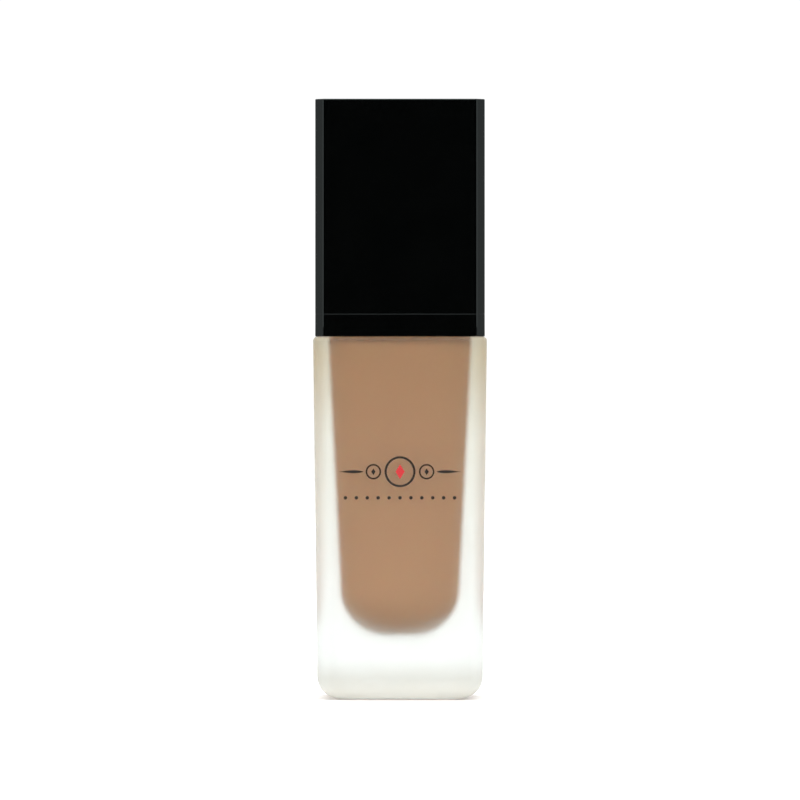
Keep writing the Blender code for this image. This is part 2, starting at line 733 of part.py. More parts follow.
def make_turret(group, material):
    """The ring that closes the barrel, guides the stem and stops its rise."""
    skirt = BARREL_BORE - SEAT_GAP
    inner = STEM_RADIUS + SLIDE_GAP
    crown = TURRET_TOP - LIP_RADIUS
    profile = arc(TURRET_RADIUS - LIP_RADIUS, crown, LIP_RADIUS, 90, 0, LIP_STEPS)
    profile += [
        (TURRET_RADIUS, TURRET_FOOT),
        (skirt, TURRET_FOOT),
        (skirt, SKIRT_FOOT),
        (inner, SKIRT_FOOT),
        (inner, TURRET_TOP),
    ]
    return turned("turret_ring", profile, group, material, PUMP_STEPS)


def make_tube(group, material):
    """The dip tube, from the housing's socket to just above the cavity's floor."""
    profile = [
        (TUBE_RADIUS, TUBE_TOP),
        (TUBE_RADIUS, TUBE_FOOT),
        (TUBE_BORE, TUBE_FOOT),
        (TUBE_BORE, TUBE_TOP),
    ]
    return turned("dip_tube", profile, group, material, SMALL_STEPS)


def make_ball(group, material):
    """The inlet valve's ball, with its origin at its middle, just off its conical seat."""
    rise = SEAT_LENGTH
    run = CHAMBER_BORE - ORIFICE
    height = ((BALL_RADIUS + SEAT_GAP) * math.hypot(rise, run) - ORIFICE * rise) / run
    work = bmesh.new()
    bmesh.ops.create_uvsphere(
        work, u_segments=BALL_SEGMENTS, v_segments=BALL_RINGS, radius=BALL_RADIUS
    )
    mesh = bpy.data.meshes.new("inlet_ball")
    work.to_mesh(mesh)
    work.free()
    smooth(mesh)
    ball = add_object("inlet_ball", mesh, group, material)
    ball.location.z = ORIFICE_TOP + height
    return ball


def make_stem(group, material):
    """The hollow stem, with the stop that meets the turret ring."""
    profile = [
        (STEM_RADIUS, STEM_TOP),
        (STEM_RADIUS, STOP_TOP),
        (STEM_STOP_RADIUS, STOP_TOP),
        (STEM_STOP_RADIUS, STOP_FOOT),
        (STEM_RADIUS, STOP_FOOT),
        (STEM_RADIUS, STEM_END),
        (STEM_BORE, STEM_END),
        (STEM_BORE, STEM_TOP),
    ]
    return turned("stem", profile, group, material, SMALL_STEPS)


def make_piston(group, material):
    """The piston round the stem, with a lip at each end."""
    outer = BARREL_BORE - SEAL_GAP
    inner = STEM_RADIUS + SEAT_GAP
    waist = (outer + inner) / 2
    top = STOP_FOOT - SEAT_GAP
    low = top - PISTON_LENGTH
    profile = [
        (outer, top),
        (outer, top - PISTON_LIP),
        (waist, top - PISTON_LIP - PISTON_RAMP),
        (waist, low + PISTON_LIP + PISTON_RAMP),
        (outer, low + PISTON_LIP),
        (outer, low),
        (inner, low),
        (inner, top),
    ]
    return turned("piston", profile, group, material, PUMP_STEPS)


def make_seat(group, material):
    """The plug in the stem's foot, whose head the spring pushes."""
    plug = STEM_BORE - SEAT_GAP
    profile = [
        (0.0, SEAT_TOP + SEAT_PLUG_LENGTH),
        (plug, SEAT_TOP + SEAT_PLUG_LENGTH),
        (plug, SEAT_TOP),
        (STEM_STOP_RADIUS, SEAT_TOP),
        (STEM_STOP_RADIUS, SEAT_TOP - SEAT_HEAD),
        (0.0, SEAT_TOP - SEAT_HEAD),
    ]
    return turned("piston_seat", profile, group, material, SMALL_STEPS, closed=False)


def make_spring(group, material):
    """The return spring, a coil between the barrel's step and the piston seat."""
    low = SPRING_FOOT + SPRING_WIRE
    rise = SPRING_TOP - SPRING_WIRE - low
    total = SPRING_COILS * COIL_STEPS
    curve = bpy.data.curves.new("return_spring", "CURVE")
    curve.dimensions = "3D"
    curve.bevel_depth = SPRING_WIRE
    curve.bevel_resolution = 1
    curve.use_fill_caps = True
    spline = curve.splines.new("POLY")
    spline.points.add(total)
    for step in range(total + 1):
        angle = 2 * math.pi * step / COIL_STEPS
        place = (SPRING_RADIUS * math.cos(angle), SPRING_RADIUS * math.sin(angle))
        spline.points[step].co = (*place, low + rise * step / total, 1.0)
    made = settle(add_object("return_spring", curve, group))
    made.data.materials.append(material)
    return made


def make_button(group, helpers, material):
    """The pump's head: a domed button with a hollow skirt, a stem socket and a spout."""
    outer = BUTTON_RADIUS
    inner = BUTTON_RADIUS - BUTTON_WALL
    socket = STEM_RADIUS + SEAT_GAP
    channel = STEM_BORE
    profile = [(0.0, BUTTON_TOP)]
    profile += arc(outer - BUTTON_CROWN, BUTTON_TOP - BUTTON_CROWN, BUTTON_CROWN, 90, 0)
    profile += [
        (outer, BUTTON_FOOT),
        (inner, BUTTON_FOOT),
        (inner, BUTTON_CEILING),
        (BUTTON_BOSS, BUTTON_CEILING),
        (BUTTON_BOSS, BUTTON_CEILING - BOSS_DROP),
        (socket, BUTTON_CEILING - BOSS_DROP),
        (socket, STEM_TOP + SEAT_GAP),
        (channel, STEM_TOP + SEAT_GAP),
        (channel, SPOUT_HEIGHT),
        (0.0, SPOUT_HEIGHT),
    ]
    button = turned("actuator_button", profile, group, material, PUMP_STEPS, closed=False)
    spout = [
        (0.0, SPOUT_REACH),
        (SPOUT_RADIUS - LIP_RADIUS, SPOUT_REACH),
        (SPOUT_RADIUS, SPOUT_REACH - LIP_RADIUS),
        (SPOUT_RADIUS, BUTTON_RADIUS - SPOUT_ROOT),
        (0.0, BUTTON_RADIUS - SPOUT_ROOT),
    ]
    nose = as_cutter(turned("button_spout", spout, helpers, None, SMALL_STEPS, closed=False))
    pocket = NOZZLE_RADIUS + SEAT_GAP
    pocket_end = SPOUT_REACH - NOZZLE_LENGTH - SEAT_GAP
    duct = [
        (0.0, SPOUT_REACH + CUT_PAST),
        (pocket, SPOUT_REACH + CUT_PAST),
        (pocket, pocket_end),
        (ORIFICE, pocket_end),
        (ORIFICE, 0.0),
        (0.0, 0.0),
    ]
    way = as_cutter(turned("button_duct", duct, helpers, None, SMALL_STEPS, closed=False))
    for helper in (nose, way):
        helper.rotation_euler.x = math.radians(90)
        helper.location.z = SPOUT_HEIGHT
    combine(button, nose, "UNION")
    combine(button, way, "DIFFERENCE")
    return button


def make_nozzle(group, material):
    """The small insert in the spout's tip."""
    profile = [
        (NOZZLE_RADIUS, SPOUT_REACH),
        (NOZZLE_RADIUS, SPOUT_REACH - NOZZLE_LENGTH),
        (NOZZLE_BORE, SPOUT_REACH - NOZZLE_LENGTH),
        (NOZZLE_BORE, SPOUT_REACH),
    ]
    nozzle = turned("nozzle_insert", profile, group, material, SMALL_STEPS)
    nozzle.rotation_euler.x = math.radians(90)
    nozzle.location.z = SPOUT_HEIGHT
    return nozzle


def build():
    """Makes every piece."""
    clear_scene()
    parts = new_collection("foundation_bottle")
    helpers = new_collection("cutters")
    stuff = make_materials()
    make_bottle(parts, helpers, stuff["frosted_glass"])
    make_fill(parts, stuff["foundation"])
    make_closure(parts, helpers, stuff["white_plastic"])
    make_collar(parts, helpers, stuff["black_gloss"])
    make_overcap(parts, helpers, stuff["black_gloss"])
    make_liner(parts, helpers, stuff["black_satin"])
    make_gasket(parts, stuff["soft_seal"])
    make_housing(parts, stuff["natural_plastic"])
    make_turret(parts, stuff["white_plastic"])
    make_tube(parts, stuff["natural_plastic"])
    make_ball(parts, stuff["steel"])
    make_stem(parts, stuff["white_plastic"])
    make_piston(parts, stuff["natural_plastic"])
    make_seat(parts, stuff["natural_plastic"])
    make_spring(parts, stuff["steel"])
    make_button(parts, helpers, stuff["black_gloss"])
    make_nozzle(parts, stuff["white_plastic"])


build()
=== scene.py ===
# %% [markdown]
# # A square frosted-glass foundation bottle
#
# The bottle stands on its thick glass base. A black collar and a tall black overcap sit flush
# on top of it, and the beige foundation inside shows softly through the etched glass.
# This lesson loads the measured frame of the bottle first. Every piece made later takes its
# place from that frame, so nothing has to be fitted by eye.

# %% Load the frame
import math

import bmesh
import bpy
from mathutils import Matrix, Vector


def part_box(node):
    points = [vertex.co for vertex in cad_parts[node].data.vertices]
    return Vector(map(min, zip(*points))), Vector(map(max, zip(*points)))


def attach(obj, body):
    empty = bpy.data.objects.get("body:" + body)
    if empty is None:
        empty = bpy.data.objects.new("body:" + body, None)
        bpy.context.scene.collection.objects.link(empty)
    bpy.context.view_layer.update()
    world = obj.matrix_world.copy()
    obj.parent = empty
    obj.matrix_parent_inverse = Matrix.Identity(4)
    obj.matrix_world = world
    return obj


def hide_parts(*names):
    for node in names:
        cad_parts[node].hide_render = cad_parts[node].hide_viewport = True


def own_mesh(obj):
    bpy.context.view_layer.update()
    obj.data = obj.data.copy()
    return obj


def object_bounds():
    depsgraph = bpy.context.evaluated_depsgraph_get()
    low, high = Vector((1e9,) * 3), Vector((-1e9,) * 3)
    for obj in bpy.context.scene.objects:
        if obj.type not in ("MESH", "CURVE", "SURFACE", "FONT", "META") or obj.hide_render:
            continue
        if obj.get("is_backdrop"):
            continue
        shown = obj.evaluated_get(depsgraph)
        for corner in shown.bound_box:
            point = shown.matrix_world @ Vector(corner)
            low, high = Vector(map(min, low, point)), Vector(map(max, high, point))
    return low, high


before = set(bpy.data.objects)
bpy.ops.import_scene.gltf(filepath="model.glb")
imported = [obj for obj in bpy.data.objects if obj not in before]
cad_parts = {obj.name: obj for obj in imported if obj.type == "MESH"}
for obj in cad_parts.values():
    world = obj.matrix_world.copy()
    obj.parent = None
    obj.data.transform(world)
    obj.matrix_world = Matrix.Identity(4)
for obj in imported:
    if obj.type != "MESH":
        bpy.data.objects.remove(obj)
cad_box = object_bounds()
MM = 0.001
print("whole bottle, mm:", [round((b - a) / MM, 2) for a, b in zip(*cad_box)])

# %% [markdown]
# ## Reading sizes off the frame
#
# The frame knows where each solid starts and ends. A small helper turns a node's box into
# plain numbers, so that the cells below can say "the collar's top" and not repeat a figure.

# %% Heights and widths of the main pieces
def reach(node):
    """A node's half width, foot and top, in metres."""
    low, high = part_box(node)
    return max(abs(low.x), abs(high.x)), low.z, high.z


glass_half, _, neck_top = reach("glass_bottle")
cap_half, cap_foot, cap_top = reach("overcap_shell")
_, collar_foot, upstand_top = reach("square_collar")
liner_radius, liner_foot, liner_top = reach("overcap_liner")
fill_half, fill_foot, fill_top = reach("foundation_fill")
button_radius, button_foot, button_top = reach("actuator_button")
closure_radius, closure_foot, closure_top = reach("screw_closure")
turret_radius, turret_foot, turret_top = reach("turret_ring")
stem_radius, stem_foot, stem_top = reach("stem")
for label, value in {
    "neck top": neck_top,
    "collar foot": collar_foot,
    "overcap foot": cap_foot,
    "overcap top": cap_top,
    "button top": button_top,
    "fill foot": fill_foot,
    "fill top": fill_top,
}.items():
    print(f"{label:14s} {value / MM:7.2f} mm")

# %% [markdown]
# ## Skinning a run of rings
#
# A square bottle that turns into a round neck is a loft: a stack of rings with the same number
# of points, skinned with four-sided faces. The same skin makes the overcap, the collar and every
# turned pump piece, so one helper serves the whole bottle. It closes both ends with flat caps,
# or joins the last ring to the first where the piece is a closed band.

# %% A helper that skins rings
def skin(name, rings, joined=False, weighted=True):
    """A mesh object through a run of rings, shaded smooth."""
    work = bmesh.new()
    rows = [[work.verts.new(point) for point in ring] for ring in rings]
    count = len(rows[0])
    if joined:
        rows.append(rows[0])
    for low, high in zip(rows, rows[1:]):
        for step in range(count):
            after = (step + 1) % count
            work.faces.new((low[step], low[after], high[after], high[step]))
    if not joined:
        work.faces.new(list(reversed(rows[0])))
        work.faces.new(rows[-1])
    bmesh.ops.recalc_face_normals(work, faces=work.faces)
    return finish_mesh(name, work, weighted)


def finish_mesh(name, work, weighted=True):
    """Turns a bmesh into a linked object. Weighted normals keep its flat sides flat."""
    mesh = bpy.data.meshes.new(name)
    work.to_mesh(mesh)
    work.free()
    mesh.shade_smooth()
    mesh.set_sharp_from_angle(angle=math.radians(50))
    item = bpy.data.objects.new(name, mesh)
    bpy.context.scene.collection.objects.link(item)
    if weighted:
        normals = item.modifiers.new("flat sides", "WEIGHTED_NORMAL")
        normals.keep_sharp = True
        normals.weight = 80
    return item


# %% [markdown]
# ## Two kinds of ring
#
# The glass has corners with a real radius. The black mouldings have a straight 45 degree chamfer
# whose two edges are only just softened, which is what gives each corner its crisp grey stripe.
# Both are drawn as one quarter turned four times. A round ring starts half a side early, so that
# its points line up with those of a square ring and the skin between them doesn't twist.

# %% Ring helpers
SIDE_STEPS = 12
CORNER_STEPS = 12
RING_POINTS = 4 * (SIDE_STEPS + CORNER_STEPS)


def four_times(quarter, z):
    """A quarter outline turned four times at a height."""
    ring = []
    for turn in range(4):
        c, s = round(math.cos(turn * math.pi / 2)), round(math.sin(turn * math.pi / 2))
        ring += [(x * c - y * s, x * s + y * c, z) for x, y in quarter]
    return ring


def rounded_square(width, corner, z):
    """A square ring with corner radii."""
    half = width / 2
    flat = half - min(corner, 0.9 * half)
    radius = half - flat
    quarter = [(half, flat * (2 * step / SIDE_STEPS - 1)) for step in range(SIDE_STEPS)]
    for step in range(CORNER_STEPS):
        angle = math.radians(90 * step / CORNER_STEPS)
        quarter.append((flat + radius * math.cos(angle), flat + radius * math.sin(angle)))
    return four_times(quarter, z)


def chamfered_square(half, chamfer, soft, z, steps=5):
    """A square ring with 45 degree chamfers, whose edges are softened by a small radius."""
    quarter = []
    back = soft * math.tan(math.radians(22.5))
    for turn, corner in ((0, (half, half - chamfer)), (45, (half - chamfer, half))):
        away = math.radians(turn)
        side = (math.cos(away), math.sin(away))
        along = (-side[1], side[0])
        centre = [corner[k] - soft * side[k] - back * along[k] for k in (0, 1)]
        for step in range(steps + 1):
            angle = away + math.radians(45) * step / steps
            quarter.append(
                (centre[0] + soft * math.cos(angle), centre[1] + soft * math.sin(angle))
            )
    return four_times(quarter, z)


def round_ring(radius, z, count=RING_POINTS):
    """A circle in step with rounded_square."""
    start = -math.pi * SIDE_STEPS / RING_POINTS
    return [
        (
            radius * math.cos(start + 2 * math.pi * step / count),
            radius * math.sin(start + 2 * math.pi * step / count),
            z,
        )
        for step in range(count)
    ]


def arc(centre_r, centre_z, radius, start, end, steps=6):
    """Profile points along an arc, in degrees from outwards towards up."""
    points = []
    for step in range(steps + 1):
        angle = math.radians(start + (end - start) * step / steps)
        points.append((centre_r + radius * math.cos(angle), centre_z + radius * math.sin(angle)))
    return points


def turned(name, profile, count=RING_POINTS):
    """A turned piece from a closed (r, z) profile."""
    return skin(name, [round_ring(r, z, count) for r, z in profile], joined=True)


print("points round the glass:", RING_POINTS)

# %% [markdown]
# ## The camera
#
# The bottle is seen square on, at its middle height, from far enough away that its sides hardly
# converge. A long lens does that: the view is about one and a third times as tall as the bottle.

# %% Camera
VIEW_HEIGHT = 150.3 * MM
CAMERA_DISTANCE = 1.5
middle = (cad_box[0][2] + cad_box[1][2]) / 2
camera_data = bpy.data.cameras.new("studio_camera")
camera_data.sensor_width = 36.0
camera_data.lens = 36.0 * CAMERA_DISTANCE / VIEW_HEIGHT
camera_data.clip_end = 50.0
camera = bpy.data.objects.new("studio_camera", camera_data)
camera.location = (0.0, -(CAMERA_DISTANCE + cap_half), middle - 0.13 * MM)
camera.rotation_euler = (math.radians(90), 0.0, 0.0)
bpy.context.scene.collection.objects.link(camera)
bpy.context.scene.camera = camera
print("lens, mm:", round(camera_data.lens, 1))

# %% [markdown]
# ## Shared surface effects
#
# Moulded plastic, etched glass and steel wire all show the same few small effects at different
# strengths: a slow drift of tone, a fine grain, and faint marks from being handled. Each effect
# is a node group, built once. A material then places the group and sets its named inputs.

# %% Node group helpers
def new_group(name, inputs, outputs):
    """An empty node group with these sockets, its input node and its output node."""
    group = bpy.data.node_groups.new(name, "ShaderNodeTree")
    for label, kind, value in inputs:
        socket = group.interface.new_socket(label, in_out="INPUT", socket_type=kind)
        socket.default_value = value
    for label, kind in outputs:
        group.interface.new_socket(label, in_out="OUTPUT", socket_type=kind)
    return group, group.nodes.new("NodeGroupInput"), group.nodes.new("NodeGroupOutput")


def noise(nodes, links, vector, scale, detail=3.0, rough=0.5):
    """A noise texture on a vector, whose scale may be a number or a socket."""
    texture = nodes.new("ShaderNodeTexNoise")
    texture.inputs["Detail"].default_value = detail
    texture.inputs["Roughness"].default_value = rough
    links.new(vector, texture.inputs["Vector"])
    if isinstance(scale, (int, float)):
        texture.inputs["Scale"].default_value = scale
    else:
        links.new(scale, texture.inputs["Scale"])
    return texture.outputs["Fac"]


def spread(nodes, links, value, low, high, to_low=0.0, to_high=1.0):
    """Maps a value from one range to another. The new limits may be sockets."""
    mapping = nodes.new("ShaderNodeMapRange")
    mapping.inputs["From Min"].default_value = low
    mapping.inputs["From Max"].default_value = high
    links.new(value, mapping.inputs["Value"])
    for label, limit in (("To Min", to_low), ("To Max", to_high)):
        if isinstance(limit, (int, float)):
            mapping.inputs[label].default_value = limit
        else:
            links.new(limit, mapping.inputs[label])
    return mapping.outputs["Result"]


# %% [markdown]
# ### Tone drift
#
# No real surface has one even colour. This group mixes two close tones by a soft noise.

# %% Tone drift group
COLOUR = "NodeSocketColor"
NUMBER = "NodeSocketFloat"
VECTOR = "NodeSocketVector"


def make_tone_drift():
    """Mixes two close tones by a soft noise."""
    group, start, end = new_group(
        "tone_drift",
        [
            ("Position", VECTOR, (0, 0, 0)),
            ("Tone", COLOUR, (0.5, 0.5, 0.5, 1)),
            ("Other Tone", COLOUR, (0.4, 0.4, 0.4, 1)),
            ("Scale", NUMBER, 100.0),
        ],
        [("Color", COLOUR)],
    )
    nodes, links = group.nodes, group.links
    cloud = noise(nodes, links, start.outputs["Position"], start.outputs["Scale"], 4.0, 0.55)
    share = spread(nodes, links, cloud, 0.3, 0.7)
    mix = nodes.new("ShaderNodeMix")
    mix.data_type = "RGBA"
    links.new(share, mix.inputs["Factor"])
    links.new(start.outputs["Tone"], mix.inputs["A"])
    links.new(start.outputs["Other Tone"], mix.inputs["B"])
    links.new(mix.outputs["Result"], end.inputs["Color"])
    return group


tone_drift = make_tone_drift()
print("group:", tone_drift.name)

# %% [markdown]
# ### Handling marks
#
# Smudges dull a glossy face in wide soft patches, and hairline scratches break it in thin lines.
# Hairlines come from a noise squeezed hard along one axis. The group gives a roughness that
# rises where the marks are, and a height for a very shallow bump.

# %% Handling marks group
def make_handling_marks():
    """Roughness and height from soft smudges and thin hairlines."""
    group, start, end = new_group(
        "handling_marks",
        [
            ("Position", VECTOR, (0, 0, 0)),
            ("Roughness", NUMBER, 0.1),
            ("Marked Roughness", NUMBER, 0.2),
            ("Smudge Scale", NUMBER, 90.0),
            ("Grain Scale", NUMBER, 3000.0),
        ],
        [("Roughness", NUMBER), ("Height", NUMBER)],
    )
    nodes, links = group.nodes, group.links
    place = start.outputs["Position"]
    smudge = noise(nodes, links, place, start.outputs["Smudge Scale"], 5.0, 0.6)
    smudge = spread(nodes, links, smudge, 0.42, 0.78)
    squeeze = nodes.new("ShaderNodeMapping")
    squeeze.inputs["Scale"].default_value = (1.0, 1.0, 0.03)
    squeeze.inputs["Rotation"].default_value = (0.15, 0.25, 0.1)
    links.new(place, squeeze.inputs["Vector"])
    hair = noise(nodes, links, squeeze.outputs["Vector"], 1800.0, 2.0, 0.5)
    hair = spread(nodes, links, hair, 0.66, 0.74)
    most = nodes.new("ShaderNodeMath")
    most.operation = "MAXIMUM"
    links.new(smudge, most.inputs[0])
    links.new(hair, most.inputs[1])
    rough = spread(
        nodes,
        links,
        most.outputs[0],
        0.0,
        1.0,
        start.outputs["Roughness"],
        start.outputs["Marked Roughness"],
    )
    grain = noise(nodes, links, place, start.outputs["Grain Scale"], 2.0, 0.5)
    links.new(rough, end.inputs["Roughness"])
    links.new(grain, end.inputs["Height"])
    return group


handling_marks = make_handling_marks()
print("group:", handling_marks.name)

# %% [markdown]
# ## Building a material
#
# Each finish starts from a Principled shader. The helper below places both groups in it, feeds
# them the surface's own position, and joins their outputs to colour, roughness and bump. What is
# even all over a surface, such as its index of refraction, is set straight on the shader.

# %% Material helper
def finish(name, tone, other, rough, marked, tone_scale=120.0, grain=3000.0, bump=0.02, **plain):
    """A Principled material with tone drift and handling marks. plain sets named sockets."""
    material = bpy.data.materials.new(name)
    material.use_nodes = True
    nodes, links = material.node_tree.nodes, material.node_tree.links
    shader = nodes["Principled BSDF"]
    place = nodes.new("ShaderNodeTexCoord").outputs["Object"]
    drift = nodes.new("ShaderNodeGroup")
    drift.node_tree = tone_drift
    drift.inputs["Tone"].default_value = (*tone, 1.0)
    drift.inputs["Other Tone"].default_value = (*other, 1.0)
    drift.inputs["Scale"].default_value = tone_scale
    links.new(place, drift.inputs["Position"])
    links.new(drift.outputs["Color"], shader.inputs["Base Color"])
    marks = nodes.new("ShaderNodeGroup")
    marks.node_tree = handling_marks
    marks.inputs["Roughness"].default_value = rough
    marks.inputs["Marked Roughness"].default_value = marked
    marks.inputs["Grain Scale"].default_value = grain
    links.new(place, marks.inputs["Position"])
    links.new(marks.outputs["Roughness"], shader.inputs["Roughness"])
    relief = nodes.new("ShaderNodeBump")
    relief.inputs["Strength"].default_value = bump
    relief.inputs["Distance"].default_value = 0.05 * MM
    links.new(marks.outputs["Height"], relief.inputs["Height"])
    links.new(relief.outputs["Normal"], shader.inputs["Normal"])
    for label, value in plain.items():
        shader.inputs[label.replace("_", " ")].default_value = value
    material.diffuse_color = (*tone, 1.0)
    return material


def wear(item, material):
    """Gives an object one material in place of whatever it had."""
    item.data.materials.clear()
    item.data.materials.append(material)
    return item


# %% [markdown]
# ## The finishes
#
# The glass is clear right through and etched on its outside, so it is one transmissive shader
# with a high roughness. The foundation is a thick emulsion: opaque, a little translucent at its
# skin. The overcap and collar are piano black. The pump's inner pieces are milky or white
# polypropylene, and the ball and spring are stainless steel.

# %% Make the finishes
etched_glass = finish(
    "etched_glass",
    (0.94, 0.985, 0.970),
    (0.92, 0.970, 0.945),
    0.52,
    0.58,
    tone_scale=60.0,
    grain=6000.0,
    bump=0.05,
    Transmission_Weight=1.0,
    IOR=1.5,
)
beige_cream = finish(
    "beige_cream",
    (0.472, 0.220, 0.077),
    (0.460, 0.214, 0.073),
    0.45,
    0.55,
    tone_scale=45.0,
    bump=0.0,
    Subsurface_Weight=0.15,
    Subsurface_Scale=0.001,
)
piano_black = finish(
    "piano_black",
    (0.0006, 0.0008, 0.0008),
    (0.0010, 0.0012, 0.0012),
    0.04,
    0.07,
    grain=900.0,
    bump=0.003,
    Specular_Tint=(0.86, 1.0, 0.99, 1.0),
)
satin_black = finish(
    "satin_black", (0.010, 0.010, 0.011), (0.014, 0.014, 0.015), 0.32, 0.42, bump=0.05
)
milky_plastic = finish(
    "milky_plastic",
    (0.74, 0.74, 0.70),
    (0.70, 0.70, 0.66),
    0.35,
    0.45,
    Subsurface_Weight=0.3,
    Subsurface_Scale=0.002,
)
white_plastic = finish("white_plastic", (0.80, 0.80, 0.785), (0.77, 0.77, 0.75), 0.30, 0.40)
soft_foam = finish("soft_foam", (0.58, 0.58, 0.56), (0.52, 0.52, 0.50), 0.70, 0.80, bump=0.4)
drawn_steel = finish(
    "drawn_steel", (0.60, 0.61, 0.62), (0.54, 0.55, 0.56), 0.18, 0.30, Metallic=1.0
)
black_ink = finish("black_ink", (0.006, 0.006, 0.006), (0.010, 0.009, 0.009), 0.35, 0.45)
red_ink = finish("red_ink", (0.52, 0.02, 0.025), (0.46, 0.018, 0.022), 0.35, 0.45)
print("finishes:", len(bpy.data.materials))

# %% [markdown]
# ## The glass
#
# The outside tapers a little towards the base, and its bottom edge is a generous radius. The
# cavity is narrower, rounder at its floor, and stops well above the base, which leaves the thick
# clear foot that makes such a bottle feel heavy. One skin runs from under the base, up the
# outside, over the neck's lip, down the bore and round the cavity to its floor.

# %% Glass sizes
BODY_HEIGHT = collar_foot - 0.3 * MM
TAPER_IN = 0.85 * MM
BODY_CORNER = 2.6 * MM
BASE_RADIUS = 4.4 * MM
SHOULDER_RADIUS = 0.8 * MM
PUSH_UP = 0.6 * MM
PUSH_UP_WIDTH = 17.0 * MM
WALL_TOP = 2.65 * MM
WALL_BASE = 4.65 * MM
CAVITY_FLOOR = 11.9 * MM
CAVITY_TOP = BODY_HEIGHT - 0.5 * MM
CAVITY_CORNER = 4.0 * MM
CAVITY_FLOOR_RADIUS = 8.5 * MM
CAVITY_TOP_RADIUS = 0.5 * MM
NECK_RADIUS = 8.8 * MM
NECK_BORE = 6.4 * MM
LIP = 0.5 * MM
WIDTH_TOP = 2 * cap_half + 0.8 * MM
WIDTH_BASE = WIDTH_TOP - 2 * TAPER_IN


def body_width(z):
    """The glass's outer width at a height."""
    return WIDTH_BASE + (WIDTH_TOP - WIDTH_BASE) * z / BODY_HEIGHT


def cavity_width(z):
    """The cavity's width at a height."""
    rise = (z - CAVITY_FLOOR) / (CAVITY_TOP - CAVITY_FLOOR)
    return body_width(z) - 2 * (WALL_BASE + (WALL_TOP - WALL_BASE) * rise)


print("glass, mm:", round(WIDTH_BASE / MM, 2), "to", round(WIDTH_TOP / MM, 2))

# %% Glass rings
def outside_rings(grow=0.0):
    """From the hollow under the base, round the bottom edge and up to the shoulder."""
    rings = []
    for step in range(1, 9):
        share = step / 8
        corner = PUSH_UP_WIDTH / 2 * (1 - share) + BODY_CORNER
        rings.append(rounded_square(share * PUSH_UP_WIDTH, corner, PUSH_UP * (1 - share**2)))
    for step in range(13):
        angle = math.radians(90 * step / 12)
        z = BASE_RADIUS * (1 - math.cos(angle))
        width = body_width(z) + 2 * grow - 2 * BASE_RADIUS * (1 - math.sin(angle))
        rings.append(rounded_square(width, BODY_CORNER, z))
    for step in range(9):
        angle = math.radians(90 * step / 8)
        z = BODY_HEIGHT - SHOULDER_RADIUS * (1 - math.sin(angle))
        width = body_width(z) + 2 * grow - 2 * SHOULDER_RADIUS * (1 - math.cos(angle))
        rings.append(rounded_square(width, BODY_CORNER, z))
    return rings


def neck_rings():
    """Up the neck's outside, over its lip and down its bore."""
    profile = arc(NECK_RADIUS + LIP, BODY_HEIGHT + LIP, LIP, 270, 180)
    profile += arc(NECK_RADIUS - LIP, neck_top - LIP, LIP, 0, 90)
    profile += arc(NECK_BORE + LIP, neck_top - LIP, LIP, 90, 180)
    profile += [(NECK_BORE, CAVITY_TOP + LIP), (NECK_BORE + LIP, CAVITY_TOP)]
    return [round_ring(r, z) for r, z in profile]


def cavity_rings(grow=0.0):
    """From the cavity's floor up to its shoulder. grow moves the surface out into the glass."""
    rings = []
    low, radius = CAVITY_FLOOR - grow, CAVITY_FLOOR_RADIUS + grow
    for step in range(1, 17):
        angle = math.radians(90 * step / 16)
        z = low + radius * (1 - math.cos(angle))
        width = cavity_width(z) + 2 * grow - 2 * radius * (1 - math.sin(angle))
        rings.append(rounded_square(width, max(CAVITY_CORNER, radius * math.cos(angle)), z))
    high, radius = CAVITY_TOP + grow, CAVITY_TOP_RADIUS + grow
    for step in range(9):
        angle = math.radians(90 * step / 8)
        z = high - radius * (1 - math.sin(angle))
        width = cavity_width(z) + 2 * grow - 2 * radius * (1 - math.cos(angle))
        rings.append(rounded_square(width, CAVITY_CORNER, z))
    return rings


glass_rings = outside_rings() + neck_rings() + list(reversed(cavity_rings()))
print("rings in the glass:", len(glass_rings))

# %% [markdown]
# ## Threads
#
# A screw thread is a ridge that climbs as it goes round. It is skinned from one small trapezium
# after another along a helix, with its ends run out so that it starts gently. A Boolean union
# joins it to its wall: outwards on the neck, inwards in the closure, half a pitch lower.

# %% Thread helper
THREAD_PITCH = 3.18 * MM
THREAD_TURNS = 1.25
THREAD_DEPTH = 1.05 * MM
THREAD_START = neck_top - 2.7 * MM - THREAD_PITCH * THREAD_TURNS


def thread(name, wall, crest, foot):
    """A helical ridge from a wall to a crest radius."""
    steps = round(RING_POINTS * THREAD_TURNS)
    total = 2 * math.pi * THREAD_TURNS
    outwards = 1 if crest > wall else -1
    slope = 0.5 * MM / THREAD_DEPTH
    rings = []
    for step in range(steps + 1):
        angle = total * step / steps
        fade = min(1.0, 0.3 + 0.7 * min(angle, total - angle) / math.radians(30))
        z = foot + THREAD_PITCH * angle / (2 * math.pi)
        tip = wall + fade * (crest - wall)
        tip_half = 0.45 * MM + (1 - fade) * abs(crest - wall) * slope
        root_half = 0.45 * MM + (abs(crest - wall) + 0.5 * MM) * slope
        root = wall - outwards * 0.5 * MM
        corners = [(root, -root_half), (tip, -tip_half), (tip, tip_half), (root, root_half)]
        rings.append([(r * math.cos(angle), r * math.sin(angle), z + up) for r, up in corners])
    return skin(name, rings, weighted=False)


def join(item, *others):
    """Joins closed meshes to item with exact Boolean unions, and removes them."""
    for other in others:
        union = item.modifiers.new("join", "BOOLEAN")
        union.operation = "UNION"
        union.solver = "EXACT"
        union.object = other
    bake_modifiers(item)
    for other in others:
        bpy.data.objects.remove(other, do_unlink=True)
    return item


